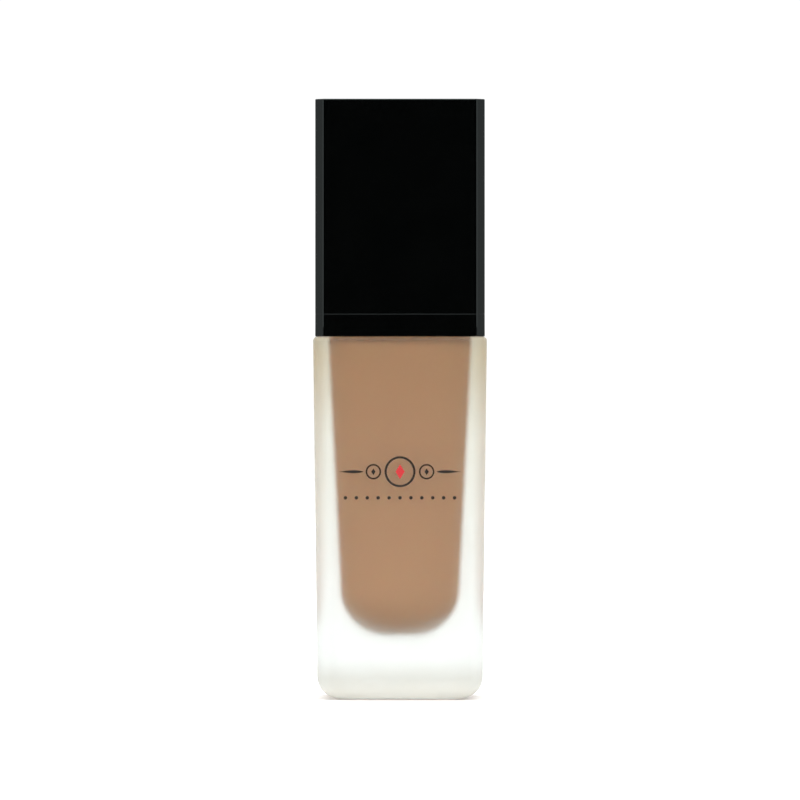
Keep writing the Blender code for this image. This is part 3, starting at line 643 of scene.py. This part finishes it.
def cut(item, *others):
    """Cuts closed meshes out of item, and removes them."""
    for other in others:
        hole = item.modifiers.new("cut", "BOOLEAN")
        hole.operation = "DIFFERENCE"
        hole.solver = "EXACT"
        hole.object = other
    bake_modifiers(item)
    for other in others:
        bpy.data.objects.remove(other, do_unlink=True)
    return item


def bake_modifiers(item):
    """Applies the Booleans and keeps the weighted normals last."""
    weighted = item.modifiers.get("flat sides")
    if weighted:
        item.modifiers.remove(weighted)
    evaluated = item.evaluated_get(bpy.context.evaluated_depsgraph_get())
    mesh = bpy.data.meshes.new_from_object(evaluated)
    item.modifiers.clear()
    item.data = mesh
    mesh.shade_smooth()
    mesh.set_sharp_from_angle(angle=math.radians(50))
    normals = item.modifiers.new("flat sides", "WEIGHTED_NORMAL")
    normals.keep_sharp = True
    normals.weight = 80
    return item


# %% Make the glass
glass = skin("frosted_glass_body", glass_rings)
join(glass, thread("neck_thread", NECK_RADIUS, NECK_RADIUS + THREAD_DEPTH, THREAD_START))
wear(glass, etched_glass)
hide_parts("glass_bottle")
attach(glass, "bottle")
print("glass faces:", len(glass.data.polygons))

# %% [markdown]
# ## The frosted coat
#
# Bottles like this are often sprayed with a thin milky lacquer. Over clear glass it reads as a
# soft white veil, and over the cream, which shows straight through the thin wall behind it, it
# almost disappears. So the coat is a closed film just outside the glass, which light crosses
# twice on its way in. Its cover follows the cavity's outline: thin over the cream, denser over the
# clear corners and the thick foot. Its colour carries painted shade: darker and warmer at the foot
# and under the black collar.

# %% Veil group
def make_cavity_veil():
    """A mask that is 0 over the cavity and 1 past its outline, on all four faces."""
    group, start, end = new_group(
        "cavity_veil",
        [
            ("Position", VECTOR, (0, 0, 0)),
            ("Floor Half Width", NUMBER, 0.011),
            ("Spread per Height", NUMBER, 0.05),
            ("Floor Height", NUMBER, 0.012),
            ("Radius", NUMBER, 0.0085),
            ("Inner Edge", NUMBER, 0.9),
            ("Outer Edge", NUMBER, 1.1),
        ],
        [("Mask", NUMBER), ("Height", NUMBER)],
    )
    nodes, links = group.nodes, group.links

    def math_node(operation, *values):
        node = nodes.new("ShaderNodeMath")
        node.operation = operation
        for socket, value in zip(node.inputs, values):
            if isinstance(value, (int, float)):
                socket.default_value = value
            else:
                links.new(value, socket)
        return node.outputs[0]

    given = start.outputs
    split = nodes.new("ShaderNodeSeparateXYZ")
    links.new(given["Position"], split.inputs[0])
    across = math_node(
        "MINIMUM",
        math_node("ABSOLUTE", split.outputs["X"]),
        math_node("ABSOLUTE", split.outputs["Y"]),
    )
    rise = math_node("SUBTRACT", split.outputs["Z"], given["Floor Height"])
    half = math_node("MULTIPLY_ADD", rise, given["Spread per Height"], given["Floor Half Width"])
    flat = math_node("SUBTRACT", half, given["Radius"])
    past_side = math_node("DIVIDE", math_node("SUBTRACT", across, flat), given["Radius"])
    past_floor = math_node("DIVIDE", math_node("SUBTRACT", given["Radius"], rise), given["Radius"])
    side = math_node("MAXIMUM", past_side, 0.0)
    floor = math_node("MAXIMUM", past_floor, 0.0)
    reach = math_node(
        "SQRT", math_node("ADD", math_node("POWER", side, 2.0), math_node("POWER", floor, 2.0))
    )
    step = nodes.new("ShaderNodeMapRange")
    step.interpolation_type = "SMOOTHSTEP"
    links.new(reach, step.inputs["Value"])
    links.new(given["Inner Edge"], step.inputs["From Min"])
    links.new(given["Outer Edge"], step.inputs["From Max"])
    links.new(step.outputs["Result"], end.inputs["Mask"])
    links.new(split.outputs["Z"], end.inputs["Height"])
    return group


cavity_veil = make_cavity_veil()
print("group:", cavity_veil.name)

# %% Coat material
VEIL_COVER = 0.25
CREAM_COVER = 0.01


def make_coat_material():
    """Milky lacquer: its cover follows the cavity; its colour carries painted shade, darker and
    warmer at the foot and towards the collar.
    """
    material = bpy.data.materials.new("frosted_lacquer")
    material.use_nodes = True
    nodes, links = material.node_tree.nodes, material.node_tree.links
    shader = nodes["Principled BSDF"]
    place = nodes.new("ShaderNodeTexCoord").outputs["Object"]
    veil = nodes.new("ShaderNodeGroup")
    veil.node_tree = cavity_veil
    for label, value in {
        "Floor Half Width": cavity_width(CAVITY_FLOOR) / 2,
        "Spread per Height": (cavity_width(CAVITY_TOP) - cavity_width(CAVITY_FLOOR))
        / 2
        / (CAVITY_TOP - CAVITY_FLOOR),
        "Floor Height": CAVITY_FLOOR,
        "Radius": CAVITY_FLOOR_RADIUS,
        "Inner Edge": 0.90,
        "Outer Edge": 1.05,
    }.items():
        veil.inputs[label].default_value = value
    links.new(place, veil.inputs["Position"])
    cover = spread(nodes, links, veil.outputs["Mask"], 0.0, 1.0, CREAM_COVER, VEIL_COVER)
    links.new(cover, shader.inputs["Alpha"])
    # Painted shade: the coat's colour darkens and warms at the foot and under the black collar. It
    # stands in for the collar's shade and dark reflection, and for the floor's contact shade.
    painted_shade_ramp = nodes.new("ShaderNodeValToRGB")
    stops = [
        (0.006, (0.60, 0.54, 0.42)),
        (0.024, (0.74, 0.69, 0.59)),
        (0.058, (0.60, 0.59, 0.54)),
        (0.110, (0.89, 0.92, 0.91)),
        (0.300, (0.94, 0.990, 0.985)),
        (0.500, (0.92, 0.990, 0.950)),
        (0.720, (0.88, 0.94, 0.86)),
        (0.940, (0.66, 0.66, 0.50)),
        (1.000, (0.66, 0.66, 0.51)),
    ]
    while len(painted_shade_ramp.color_ramp.elements) < len(stops):
        painted_shade_ramp.color_ramp.elements.new(0.5)
    for element, (at, tone) in zip(painted_shade_ramp.color_ramp.elements, stops):
        element.position = at
        element.color = (*tone, 1.0)
    climb = spread(nodes, links, veil.outputs["Height"], 0.0, BODY_HEIGHT)
    links.new(climb, painted_shade_ramp.inputs["Fac"])
    drift = nodes.new("ShaderNodeGroup")
    drift.node_tree = tone_drift
    drift.inputs["Scale"].default_value = 300.0
    links.new(place, drift.inputs["Position"])
    links.new(painted_shade_ramp.outputs["Color"], drift.inputs["Tone"])
    dim = nodes.new("ShaderNodeMix")
    dim.data_type = "RGBA"
    dim.blend_type = "MULTIPLY"
    dim.inputs["Factor"].default_value = 1.0
    dim.inputs["B"].default_value = (0.97, 0.97, 0.965, 1.0)
    links.new(painted_shade_ramp.outputs["Color"], dim.inputs["A"])
    links.new(dim.outputs["Result"], drift.inputs["Other Tone"])
    links.new(drift.outputs["Color"], shader.inputs["Base Color"])
    marks = nodes.new("ShaderNodeGroup")
    marks.node_tree = handling_marks
    marks.inputs["Roughness"].default_value = 0.6
    marks.inputs["Marked Roughness"].default_value = 0.7
    marks.inputs["Grain Scale"].default_value = 5000.0
    links.new(place, marks.inputs["Position"])
    links.new(marks.outputs["Roughness"], shader.inputs["Roughness"])
    relief = nodes.new("ShaderNodeBump")
    relief.inputs["Strength"].default_value = 0.1
    relief.inputs["Distance"].default_value = 0.05 * MM
    links.new(marks.outputs["Height"], relief.inputs["Height"])
    links.new(relief.outputs["Normal"], shader.inputs["Normal"])
    shader.inputs["Specular IOR Level"].default_value = 0.2
    return material


frosted_lacquer = make_coat_material()

# %% Make the coat
COAT_INSIDE = 0.01 * MM
COAT_OUTSIDE = 0.03 * MM
BASE_EDGE_RING = 8

outer_film = outside_rings(COAT_OUTSIDE)[BASE_EDGE_RING:]
inner_film = outside_rings(COAT_INSIDE)[BASE_EDGE_RING:]
coat = skin("frosted_coat", outer_film + list(reversed(inner_film)), joined=True)
wear(coat, frosted_lacquer)
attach(coat, "bottle")
print("coat faces:", len(coat.data.polygons))

# %% [markdown]
# ## The foundation
#
# A liquid wets its bottle: there is no air between it and the glass. So its surface is drawn a
# hair outside the cavity, inside the glass, and light that crosses the wall meets the cream
# straight away. A well in the middle leaves the pump's barrel and dip tube free.

# %% Make the foundation
WETTING = 0.03 * MM


def pump_well():
    """The rings of the well round the pump, from the cream's top down."""
    steps = [
        (5.2 * MM, CAVITY_TOP + WETTING),
        (5.2 * MM, 58.4 * MM),
        (3.3 * MM, 58.4 * MM),
        (3.3 * MM, 52.9 * MM),
        (2.75 * MM, 52.9 * MM),
        (2.75 * MM, 46.9 * MM),
        (1.65 * MM, 46.9 * MM),
        (1.65 * MM, 12.8 * MM),
    ]
    return [round_ring(r, z) for r, z in steps]


cream = skin("foundation_cream", cavity_rings(WETTING) + pump_well())
wear(cream, beige_cream)
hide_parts("foundation_fill")
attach(cream, "bottle")
print("cream faces:", len(cream.data.polygons))

# %% [markdown]
# ## The overcap
#
# A tall square moulding with crisp chamfered corners. Its outline is the chamfered ring, drawn
# in slightly at the top and bottom edges to round them over. The same skin runs back down the
# inside, so the wall has its real thickness when the overcap is lifted off.

# %% Overcap helper
CHAMFER = 1.5 * MM
EDGE_SOFT = 0.18 * MM
LEVEL_SOFT = 0.22 * MM
SEAM_SOFT = 0.05 * MM
SEAM_DROP = 0.48 * MM
SEAM_GAP = 0.02 * MM
FOOT_DROP = 0.26 * MM
CAP_WALL = 1.6 * MM
CAP_CEILING = cap_top - 1.8 * MM


def black_ring(inset, z):
    """The overcap's outline, drawn in by inset."""
    soft = max(EDGE_SOFT - 0.3 * inset, 0.05 * MM)
    return chamfered_square(cap_half - inset, CHAMFER - 0.6 * inset, soft, z)


def rounded_edge(z, up, soft=LEVEL_SOFT):
    """Rings that round a level edge over, outwards from the flat face to the side."""
    rings = []
    for step in range(6):
        angle = math.radians(90 * step / 5)
        inset = soft * (1 - math.sin(angle))
        rings.append(black_ring(inset, z - up * soft * (1 - math.cos(angle))))
    return rings


def inner_ring(z, half=None):
    """The inside outline of a black moulding's wall."""
    half = cap_half - CAP_WALL if half is None else half
    return chamfered_square(half, 0.6 * MM, 0.1 * MM, z)


# %% Make the overcap
overcap_rings = [inner_ring(CAP_CEILING, cap_half - CAP_WALL - 0.2 * MM)]
overcap_rings += [inner_ring(CAP_CEILING - 0.2 * MM), inner_ring(cap_foot - SEAM_DROP)]
overcap_rings += rounded_edge(cap_foot - SEAM_DROP, -1, SEAM_SOFT)
overcap_rings += list(reversed(rounded_edge(cap_top, 1)))
overcap = skin("overcap_outer", overcap_rings)
wear(overcap, piano_black)
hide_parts("overcap_shell")
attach(overcap, "overcap")
print("overcap faces:", len(overcap.data.polygons))

# %% [markdown]
# ## The collar
#
# The low band under the overcap is a separate moulding: a square deck, hollow underneath, with a
# round upstand that the overcap's sleeve grips. The square part and the round part are skinned
# on their own, joined, and then bored out.

# %% Make the collar
COLLAR_TOP = cap_foot - SEAM_DROP - SEAM_GAP
DECK = 1.5 * MM
UPSTAND = 12.8 * MM
UPSTAND_BORE = 11.8 * MM
UPSTAND_HOLE = 9.0 * MM

band_rings = [inner_ring(COLLAR_TOP - DECK)]
band_rings += [inner_ring(collar_foot - FOOT_DROP)]
band_rings += rounded_edge(collar_foot - FOOT_DROP, -1, SEAM_SOFT)
band_rings += list(reversed(rounded_edge(COLLAR_TOP, 1, SEAM_SOFT)))
collar = skin("collar_band", band_rings)
post_profile = arc(UPSTAND - LIP, upstand_top - LIP, LIP, 90, 0)
post_profile += [(UPSTAND, COLLAR_TOP - DECK / 2)]
post = skin("collar_post", [round_ring(r, z) for r, z in post_profile])
bore_profile = [
    (UPSTAND_HOLE, upstand_top + 1 * MM),
    (UPSTAND_HOLE, upstand_top - 0.8 * MM),
    (UPSTAND_BORE, upstand_top - 0.8 * MM),
    (UPSTAND_BORE, collar_foot - 1 * MM),
]
bore = skin("collar_bore", [round_ring(r, z) for r, z in bore_profile])
join(collar, post)
cut(collar, bore)
wear(collar, piano_black)
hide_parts("square_collar")
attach(collar, "closure")
print("collar faces:", len(collar.data.polygons))

# %% [markdown]
# ## The overcap's sleeve
#
# Inside the square overcap a round sleeve with a small bead slides over the collar's upstand and
# holds it. Four ribs reach into the overcap's corners and keep it straight.

# %% Make the sleeve
SLEEVE_BORE = UPSTAND + 0.3 * MM
BEAD = UPSTAND + 0.12 * MM
sleeve_profile = [
    (0.2 * MM, liner_top),
    *arc(liner_radius - LIP, liner_top - LIP, LIP, 90, 0),
    (liner_radius, liner_foot),
    (SLEEVE_BORE, liner_foot),
    (SLEEVE_BORE, liner_foot + 3.0 * MM),
    (BEAD, liner_foot + 3.7 * MM),
    (BEAD, liner_foot + 4.3 * MM),
    (SLEEVE_BORE, liner_foot + 5.0 * MM),
    (SLEEVE_BORE, liner_top - 1.2 * MM),
    (0.2 * MM, liner_top - 1.2 * MM),
]
outer_rings = [round_ring(r, z) for r, z in sleeve_profile]
sleeve = skin("overcap_sleeve", outer_rings)


RIB_HALF = 0.6 * MM  # half its thickness, and how far it stops short at each end
RIB_ROOM = 0.3 * MM  # between a rib and the overcap's inside
RIB_ROOT = 0.4 * MM  # how far a rib is rooted in the sleeve's wall


def corner_rib(turn):
    """One thin upright rib from the sleeve's wall into a corner of the overcap."""
    near = SLEEVE_BORE + RIB_ROOT
    far = (cap_half - CAP_WALL - RIB_ROOM) * math.sqrt(2) - RIB_HALF
    away = math.radians(turn)
    cos, sin = math.cos(away), math.sin(away)
    corners = ((near, -RIB_HALF), (far, -RIB_HALF), (far, RIB_HALF), (near, RIB_HALF))
    rings = []
    for z in (liner_foot + RIB_HALF, liner_top - RIB_HALF):
        rings.append([(x * cos - y * sin, x * sin + y * cos, z) for x, y in corners])
    return skin(f"rib_{turn}", rings, weighted=False)


join(sleeve, *[corner_rib(turn) for turn in (45, 135, 225, 315)])
wear(sleeve, satin_black)
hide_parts("overcap_liner")
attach(sleeve, "overcap")
print("sleeve faces:", len(sleeve.data.polygons))

# %% [markdown]
# ## The pump's head
#
# Under the overcap a round button with a short spout pushes the stem down. Its crown is softly
# rounded and its skirt is hollow. The spout is a small cylinder laid on its side, joined to the
# button, with the duct drilled through to the stem's socket.

# %% Make the button
SPOUT_HEIGHT = button_top - 3.6 * MM
SPOUT_REACH = -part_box("nozzle_insert")[0].y
CROWN = 1.6 * MM
SKIRT = 7.0 * MM


def lying(name, profile, count=48):
    """A closed turned piece whose axis points to the front at the spout's height."""
    rings = [
        [(x, -z, SPOUT_HEIGHT + y) for x, y, z in round_ring(r, out, count)] for r, out in profile
    ]
    return skin(name, rings, weighted=False)


ceiling = button_foot + SKIRT
socket = stem_radius - 1.0 * MM + 0.3 * MM
button_profile = [
    (0.15 * MM, button_top),
    *arc(button_radius - CROWN, button_top - CROWN, CROWN, 90, 0, 10),
    (button_radius, button_foot + 0.15 * MM),
    (button_radius - 0.15 * MM, button_foot),
    (button_radius - 1.1 * MM, button_foot),
    (button_radius - 1.1 * MM, ceiling),
    (3.8 * MM, ceiling),
    (3.8 * MM, ceiling - 3.0 * MM),
    (socket, ceiling - 3.0 * MM),
    (socket, stem_top + 0.3 * MM),
    (1.1 * MM, stem_top + 0.3 * MM),
    (1.1 * MM, SPOUT_HEIGHT),
    (0.15 * MM, SPOUT_HEIGHT),
]
button = skin("pump_button", [round_ring(r, z) for r, z in button_profile])
spout = lying(
    "spout",
    [
        (1.9 * MM, SPOUT_REACH),
        (2.25 * MM, SPOUT_REACH - 0.15 * MM),
        (2.4 * MM, SPOUT_REACH - 0.5 * MM),
        (2.4 * MM, button_radius - 1.5 * MM),
    ],
)
duct = lying(
    "duct",
    [
        (1.7 * MM, SPOUT_REACH + 1.0 * MM),
        (1.7 * MM, SPOUT_REACH - 2.7 * MM),
        (0.9 * MM, SPOUT_REACH - 2.7 * MM),
        (0.9 * MM, 0.0),
    ],
)
join(button, spout)
cut(button, duct)
wear(button, piano_black)
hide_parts("actuator_button")
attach(button, "head")
print("button faces:", len(button.data.polygons), "socket radius, mm:", round(socket / MM, 2))

# %% [markdown]
# ## Turned pump pieces that show
#
# With the overcap off, the closure's top, the turret ring, the stem and the spout's nozzle can be
# seen. They are redrawn finer than the frame's solids. The hidden pieces keep the frame's shapes.

# %% Make the closure
closure_profile = arc(closure_radius - LIP, closure_top - LIP, LIP, 90, 0)
closure_profile += [
    (closure_radius, closure_foot),
    (closure_radius - 1.35 * MM, closure_foot),
    (closure_radius - 1.35 * MM, closure_top - 1.2 * MM),
    (turret_radius + 0.3 * MM, closure_top - 1.2 * MM),
    (turret_radius + 0.3 * MM, closure_top),
]
closure = turned("threaded_closure", closure_profile)
CLOSURE_BORE = closure_radius - 1.35 * MM
ridge = thread(
    "closure_thread", CLOSURE_BORE, CLOSURE_BORE - THREAD_DEPTH, THREAD_START - THREAD_PITCH / 2
)
join(closure, ridge)
wear(closure, white_plastic)
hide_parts("screw_closure")
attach(closure, "closure")
print("closure faces:", len(closure.data.polygons))

# %% Make the turret ring, the stem and the nozzle
STEM = 2.3 * MM
turret_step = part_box("pump_housing")[1].z + 0.3 * MM
turret_profile = arc(turret_radius - LIP, turret_top - LIP, LIP, 90, 0)
turret_profile += [
    (turret_radius, turret_step),
    (3.6 * MM, turret_step),
    (3.6 * MM, turret_foot),
    (STEM + 0.3 * MM, turret_foot),
    (STEM + 0.3 * MM, turret_top - 0.3 * MM),
    (STEM + 0.6 * MM, turret_top),
]
turret = wear(turned("turret_guide", turret_profile), white_plastic)
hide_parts("turret_ring")
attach(turret, "pump_unit")

stop_top = turret_foot - 0.3 * MM
stem_profile = [
    (STEM - 0.2 * MM, stem_top),
    (STEM, stem_top - 0.2 * MM),
    (STEM, stop_top),
    (stem_radius, stop_top),
    (stem_radius, stop_top - 0.8 * MM),
    (STEM, stop_top - 0.8 * MM),
    (STEM, stem_foot),
    (1.1 * MM, stem_foot),
    (1.1 * MM, stem_top),
]
stem = wear(turned("pump_stem", stem_profile, 64), white_plastic)
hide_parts("stem")
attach(stem, "head")

NOZZLE = 1.4 * MM
nozzle_rings = [
    [(x, -z, SPOUT_HEIGHT + y) for x, y, z in round_ring(r, out, 48)]
    for r, out in [
        (NOZZLE - 0.15 * MM, SPOUT_REACH),
        (NOZZLE, SPOUT_REACH - 0.15 * MM),
        (NOZZLE, SPOUT_REACH - 2.4 * MM),
        (0.5 * MM, SPOUT_REACH - 2.4 * MM),
        (0.5 * MM, SPOUT_REACH - 0.25 * MM),
        (0.75 * MM, SPOUT_REACH),
    ]
]
nozzle = wear(skin("spout_nozzle", nozzle_rings, joined=True), white_plastic)
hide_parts("nozzle_insert")
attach(nozzle, "head")
print("turned pieces:", turret.name, stem.name, nozzle.name)

# %% [markdown]
# ## The return spring
#
# A compression spring is round wire wound on a helix, with its end turns closed up so that it
# stands flat. Its foot rests on the barrel's step while its head follows the piston, so it can't
# ride rigidly on either. It rides with the barrel.

# %% Make the spring
SPRING_WIRE = 0.35 * MM
SPRING_RADIUS = 2.8 * MM
SPRING_TURNS = 7
SPRING_STEPS = 24
END_PITCH = 0.35  # of the open turns' pitch, where the ends are closed up
CLOSED_TURNS = 0.6
OPENING_TURNS = 0.8  # over which the closed pitch grows to the open one
WIRE_SIDES = 12
spring_foot, spring_head = (corner[2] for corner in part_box("return_spring"))


def coil_heights():
    """Heights of the wire's middle along the coil, with closed turns at both ends."""
    steps = SPRING_TURNS * SPRING_STEPS
    climbs = []
    for step in range(steps):
        turn = (step + 0.5) / SPRING_STEPS
        inside = min(turn, SPRING_TURNS - turn)
        open_share = min(max(inside - CLOSED_TURNS, 0.0) / OPENING_TURNS, 1.0)
        climbs.append(END_PITCH + (1 - END_PITCH) * open_share)
    rise = spring_head - spring_foot - 2 * SPRING_WIRE
    heights = [spring_foot + SPRING_WIRE]
    for climb in climbs:
        heights.append(heights[-1] + rise * climb / sum(climbs))
    return heights


spring_rings = []
for step, height in enumerate(coil_heights()):
    angle = 2 * math.pi * step / SPRING_STEPS
    ring = []
    for side in range(WIRE_SIDES):
        lean = 2 * math.pi * side / WIRE_SIDES
        out = SPRING_RADIUS + SPRING_WIRE * math.cos(lean)
        up = height + SPRING_WIRE * math.sin(lean)
        ring.append((out * math.cos(angle), out * math.sin(angle), up))
    spring_rings.append(ring)
spring = skin("coil_spring", spring_rings)
wear(spring, drawn_steel)
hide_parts("return_spring")
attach(spring, "pump_unit")
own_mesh(spring)

# %% [markdown]
# ## Finishes on the hidden pieces
#
# The frame's own solids are right as they are for what sits deep in the bottle. Each only needs
# its real finish.

# %% Dress the carried-over solids
for node, material in {
    "pump_housing": milky_plastic,
    "neck_gasket": soft_foam,
    "dip_tube": milky_plastic,
    "inlet_ball": drawn_steel,
    "piston": milky_plastic,
    "piston_seat": milky_plastic,
}.items():
    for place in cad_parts[node].material_slots:
        place.material = material
print("carried-over solids dressed")

# %% [markdown]
# ## The print
#
# A screen print is a film of ink a few hundredths of a millimetre thick, so it is real geometry
# here: thin flat shapes that follow the front face's slight lean. The ornament is a plain one, a
# ringed lozenge between two tapering rules, over a row of dots.

# %% Print helpers
PRINT_HEIGHT = 42.9 * MM
FILM = 0.04 * MM


def front_face(z):
    """The y of the glass's front face at a height."""
    return -body_width(z) / 2


def printed(name, outline, material, hole=None):
    """A thin film of ink on the front face, from an outline in (x, z) and an optional hole."""
    work = bmesh.new()
    loops = [outline] + ([hole] if hole else [])
    edges = []
    for loop in loops:
        verts = [work.verts.new((x, 0.0, z)) for x, z in loop]
        edges += [work.edges.new((a, b)) for a, b in zip(verts, verts[1:] + verts[:1])]
    if hole:
        bmesh.ops.bridge_loops(work, edges=edges)
    else:
        bmesh.ops.edgeloop_fill(work, edges=edges)
    film = bmesh.ops.extrude_face_region(work, geom=list(work.faces))
    raised = {v for v in film["geom"] if isinstance(v, bmesh.types.BMVert)}
    for vert in work.verts:
        out = FILM if vert in raised else -0.01 * MM
        vert.co.y = front_face(vert.co.z) - out
    bmesh.ops.recalc_face_normals(work, faces=work.faces)
    item = wear(finish_mesh(name, work, weighted=False), material)
    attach(item, "bottle")
    return item


def circle(x, z, radius, count=48):
    """An outline of a circle."""
    angles = [2 * math.pi * k / count for k in range(count)]
    return [(x + radius * math.cos(angle), z + radius * math.sin(angle)) for angle in angles]


def lozenge(x, z, tall):
    """An upright lozenge."""
    wide = 0.62 * tall
    return [(x, z + tall), (x + wide, z), (x, z - tall), (x - wide, z)]


def tapering_rule(side):
    """A long thin rule that swells near the middle and runs out to a point."""
    inner, outer, thick = 6.9 * MM, 11.4 * MM, 0.36 * MM
    top, bottom = [], []
    for step in range(25):
        share = step / 24
        x = side * (inner + (outer - inner) * share)
        swell = math.sin(math.pi * min(1.0, share * 1.0 + 0.02)) ** 0.8
        half = thick * swell * (1 - 0.55 * share)
        half = max(half, 0.03 * MM)
        top.append((x, PRINT_HEIGHT + half))
        bottom.append((x, PRINT_HEIGHT - half))
    return top + list(reversed(bottom))


# %% Make the print
RINGS = ((0.0, 2.9, 2.5), (-5.0, 1.45, 1.15), (5.0, 1.45, 1.15))
for number, (across, outer, inner) in enumerate(RINGS):
    printed(
        f"print_ring_{number + 1}",
        circle(across * MM, PRINT_HEIGHT, outer * MM),
        black_ink,
        circle(across * MM, PRINT_HEIGHT, inner * MM),
    )
    printed(
        f"print_lozenge_{number + 1}",
        lozenge(across * MM, PRINT_HEIGHT, 0.55 * inner * MM),
        black_ink if number else red_ink,
    )
for side, label in ((-1, "left"), (1, "right")):
    printed(f"print_rule_{label}", tapering_rule(side), black_ink)
DOTS = 11
for number in range(DOTS):
    across = (number - (DOTS - 1) / 2) * 2.05 * MM
    printed(f"print_dot_{number + 1}", circle(across, 38.0 * MM, 0.33 * MM, 24), black_ink)
print("print pieces:", 2 * len(RINGS) + 2 + DOTS)

# %% [markdown]
# ## The studio
#
# A pale floor, and a wide soft light from all round. It is brightest behind the bottle, so that
# the frosted glass glows, and dark in a small patch straight in front, so that the glossy black
# face mirrors almost nothing. The sky shows plain white wherever the camera sees it directly. In
# mirror reflections the floor falls off away from the bottle, like the edge of a pool of light,
# so that the glossy faces carry a gradient instead of one flat grey.

# %% Floor
FLOOR_DROP = 0.1 * MM
PAPER = (0.88, 0.88, 0.88, 1.0)
PAPER_GLOW = 0.16  # seen directly only, so that the paper matches the sky
POOL_NEAR = 0.10  # metres from the bottle
POOL_FAR = 0.30
POOL_EDGE = 0.22  # the paper's tone past POOL_FAR, in mirror reflections

floor_mesh = bmesh.new()
bmesh.ops.create_grid(floor_mesh, x_segments=2, y_segments=2, size=4.0)
floor = finish_mesh("studio_floor", floor_mesh, weighted=False)
floor.location.z = -FLOOR_DROP
paper = bpy.data.materials.new("white_paper")
paper.use_nodes = True
paper_nodes, paper_links = paper.node_tree.nodes, paper.node_tree.links
paper_shader = paper_nodes["Principled BSDF"]
paper_shader.inputs["Base Color"].default_value = PAPER
paper_shader.inputs["Roughness"].default_value = 0.9
paper_shader.inputs["Specular IOR Level"].default_value = 0.1
paper_shader.inputs["Emission Color"].default_value = (1.0, 1.0, 1.0, 1.0)
seen_directly = paper_nodes.new("ShaderNodeLightPath").outputs["Is Camera Ray"]
glow = spread(paper_nodes, paper_links, seen_directly, 0.0, 1.0, 0.0, PAPER_GLOW)
paper_links.new(glow, paper_shader.inputs["Emission Strength"])
away = paper_nodes.new("ShaderNodeVectorMath")
away.operation = "LENGTH"
paper_links.new(paper_nodes.new("ShaderNodeTexCoord").outputs["Object"], away.inputs[0])
distance = away.outputs["Value"]
pool = spread(paper_nodes, paper_links, distance, POOL_NEAR, POOL_FAR, PAPER[0], POOL_EDGE)
mirrored = paper_nodes.new("ShaderNodeLightPath").outputs["Is Glossy Ray"]
tone = paper_nodes.new("ShaderNodeMix")
tone.data_type = "RGBA"
paper_links.new(mirrored, tone.inputs["Factor"])
tone.inputs["A"].default_value = PAPER
paper_links.new(pool, tone.inputs["B"])
paper_links.new(tone.outputs["Result"], paper_shader.inputs["Base Color"])
wear(floor, paper)
floor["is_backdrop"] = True

# %% Light
def studio_sky():
    """Light from all round: bright behind, softer at the sides, dark straight in front."""
    world = bpy.data.worlds.new("studio_sky")
    world.use_nodes = True
    nodes, links = world.node_tree.nodes, world.node_tree.links
    nodes.clear()
    out = nodes.new("ShaderNodeOutputWorld")
    seen = nodes.new("ShaderNodeBackground")
    seen.inputs["Color"].default_value = (1.0, 1.0, 1.0, 1.0)
    seen.inputs["Strength"].default_value = 1.05
    lit = nodes.new("ShaderNodeBackground")
    way = nodes.new("ShaderNodeSeparateXYZ")
    links.new(nodes.new("ShaderNodeTexCoord").outputs["Generated"], way.inputs[0])
    place = spread(nodes, links, way.outputs["Y"], -1.0, 1.0)
    ramp = nodes.new("ShaderNodeValToRGB")
    stops = [
        (0.0, 0.0),
        (0.012, 0.0),
        (0.045, 2.4),
        (0.25, 1.85),
        (0.40, 0.55),
        (0.54, 0.5),
        (0.66, 1.5),
        (1.0, 1.7),
    ]
    while len(ramp.color_ramp.elements) < len(stops):
        ramp.color_ramp.elements.new(0.5)
    for element, (at, level) in zip(ramp.color_ramp.elements, stops):
        element.position = at
        element.color = (level, level, level, 1.0)
    links.new(place, ramp.inputs["Fac"])
    above = spread(nodes, links, way.outputs["Z"], 0.3, 1.0, 0.0, 0.4)
    total = nodes.new("ShaderNodeMath")
    total.operation = "ADD"
    links.new(ramp.outputs["Color"], total.inputs[0])
    links.new(above, total.inputs[1])
    links.new(total.outputs[0], lit.inputs["Strength"])
    lit.inputs["Color"].default_value = (1.0, 1.0, 1.0, 1.0)
    mix = nodes.new("ShaderNodeMixShader")
    links.new(nodes.new("ShaderNodeLightPath").outputs["Is Camera Ray"], mix.inputs[0])
    links.new(lit.outputs[0], mix.inputs[1])
    links.new(seen.outputs[0], mix.inputs[2])
    links.new(mix.outputs[0], out.inputs["Surface"])
    return world


scene = bpy.context.scene
scene.world = studio_sky()
scene.view_settings.view_transform = "Standard"
scene.view_settings.look = "None"
print("studio ready")

# %% [markdown]
# ## The size of the finished bottle
#
# The finished bottle has to fill the same box as its frame. Both boxes are printed.

# %% Print both boxes
made_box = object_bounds()
for label, box in (("frame", cad_box), ("made", made_box)):
    print(label, [round((b - a) / MM, 2) for a, b in zip(*box)])
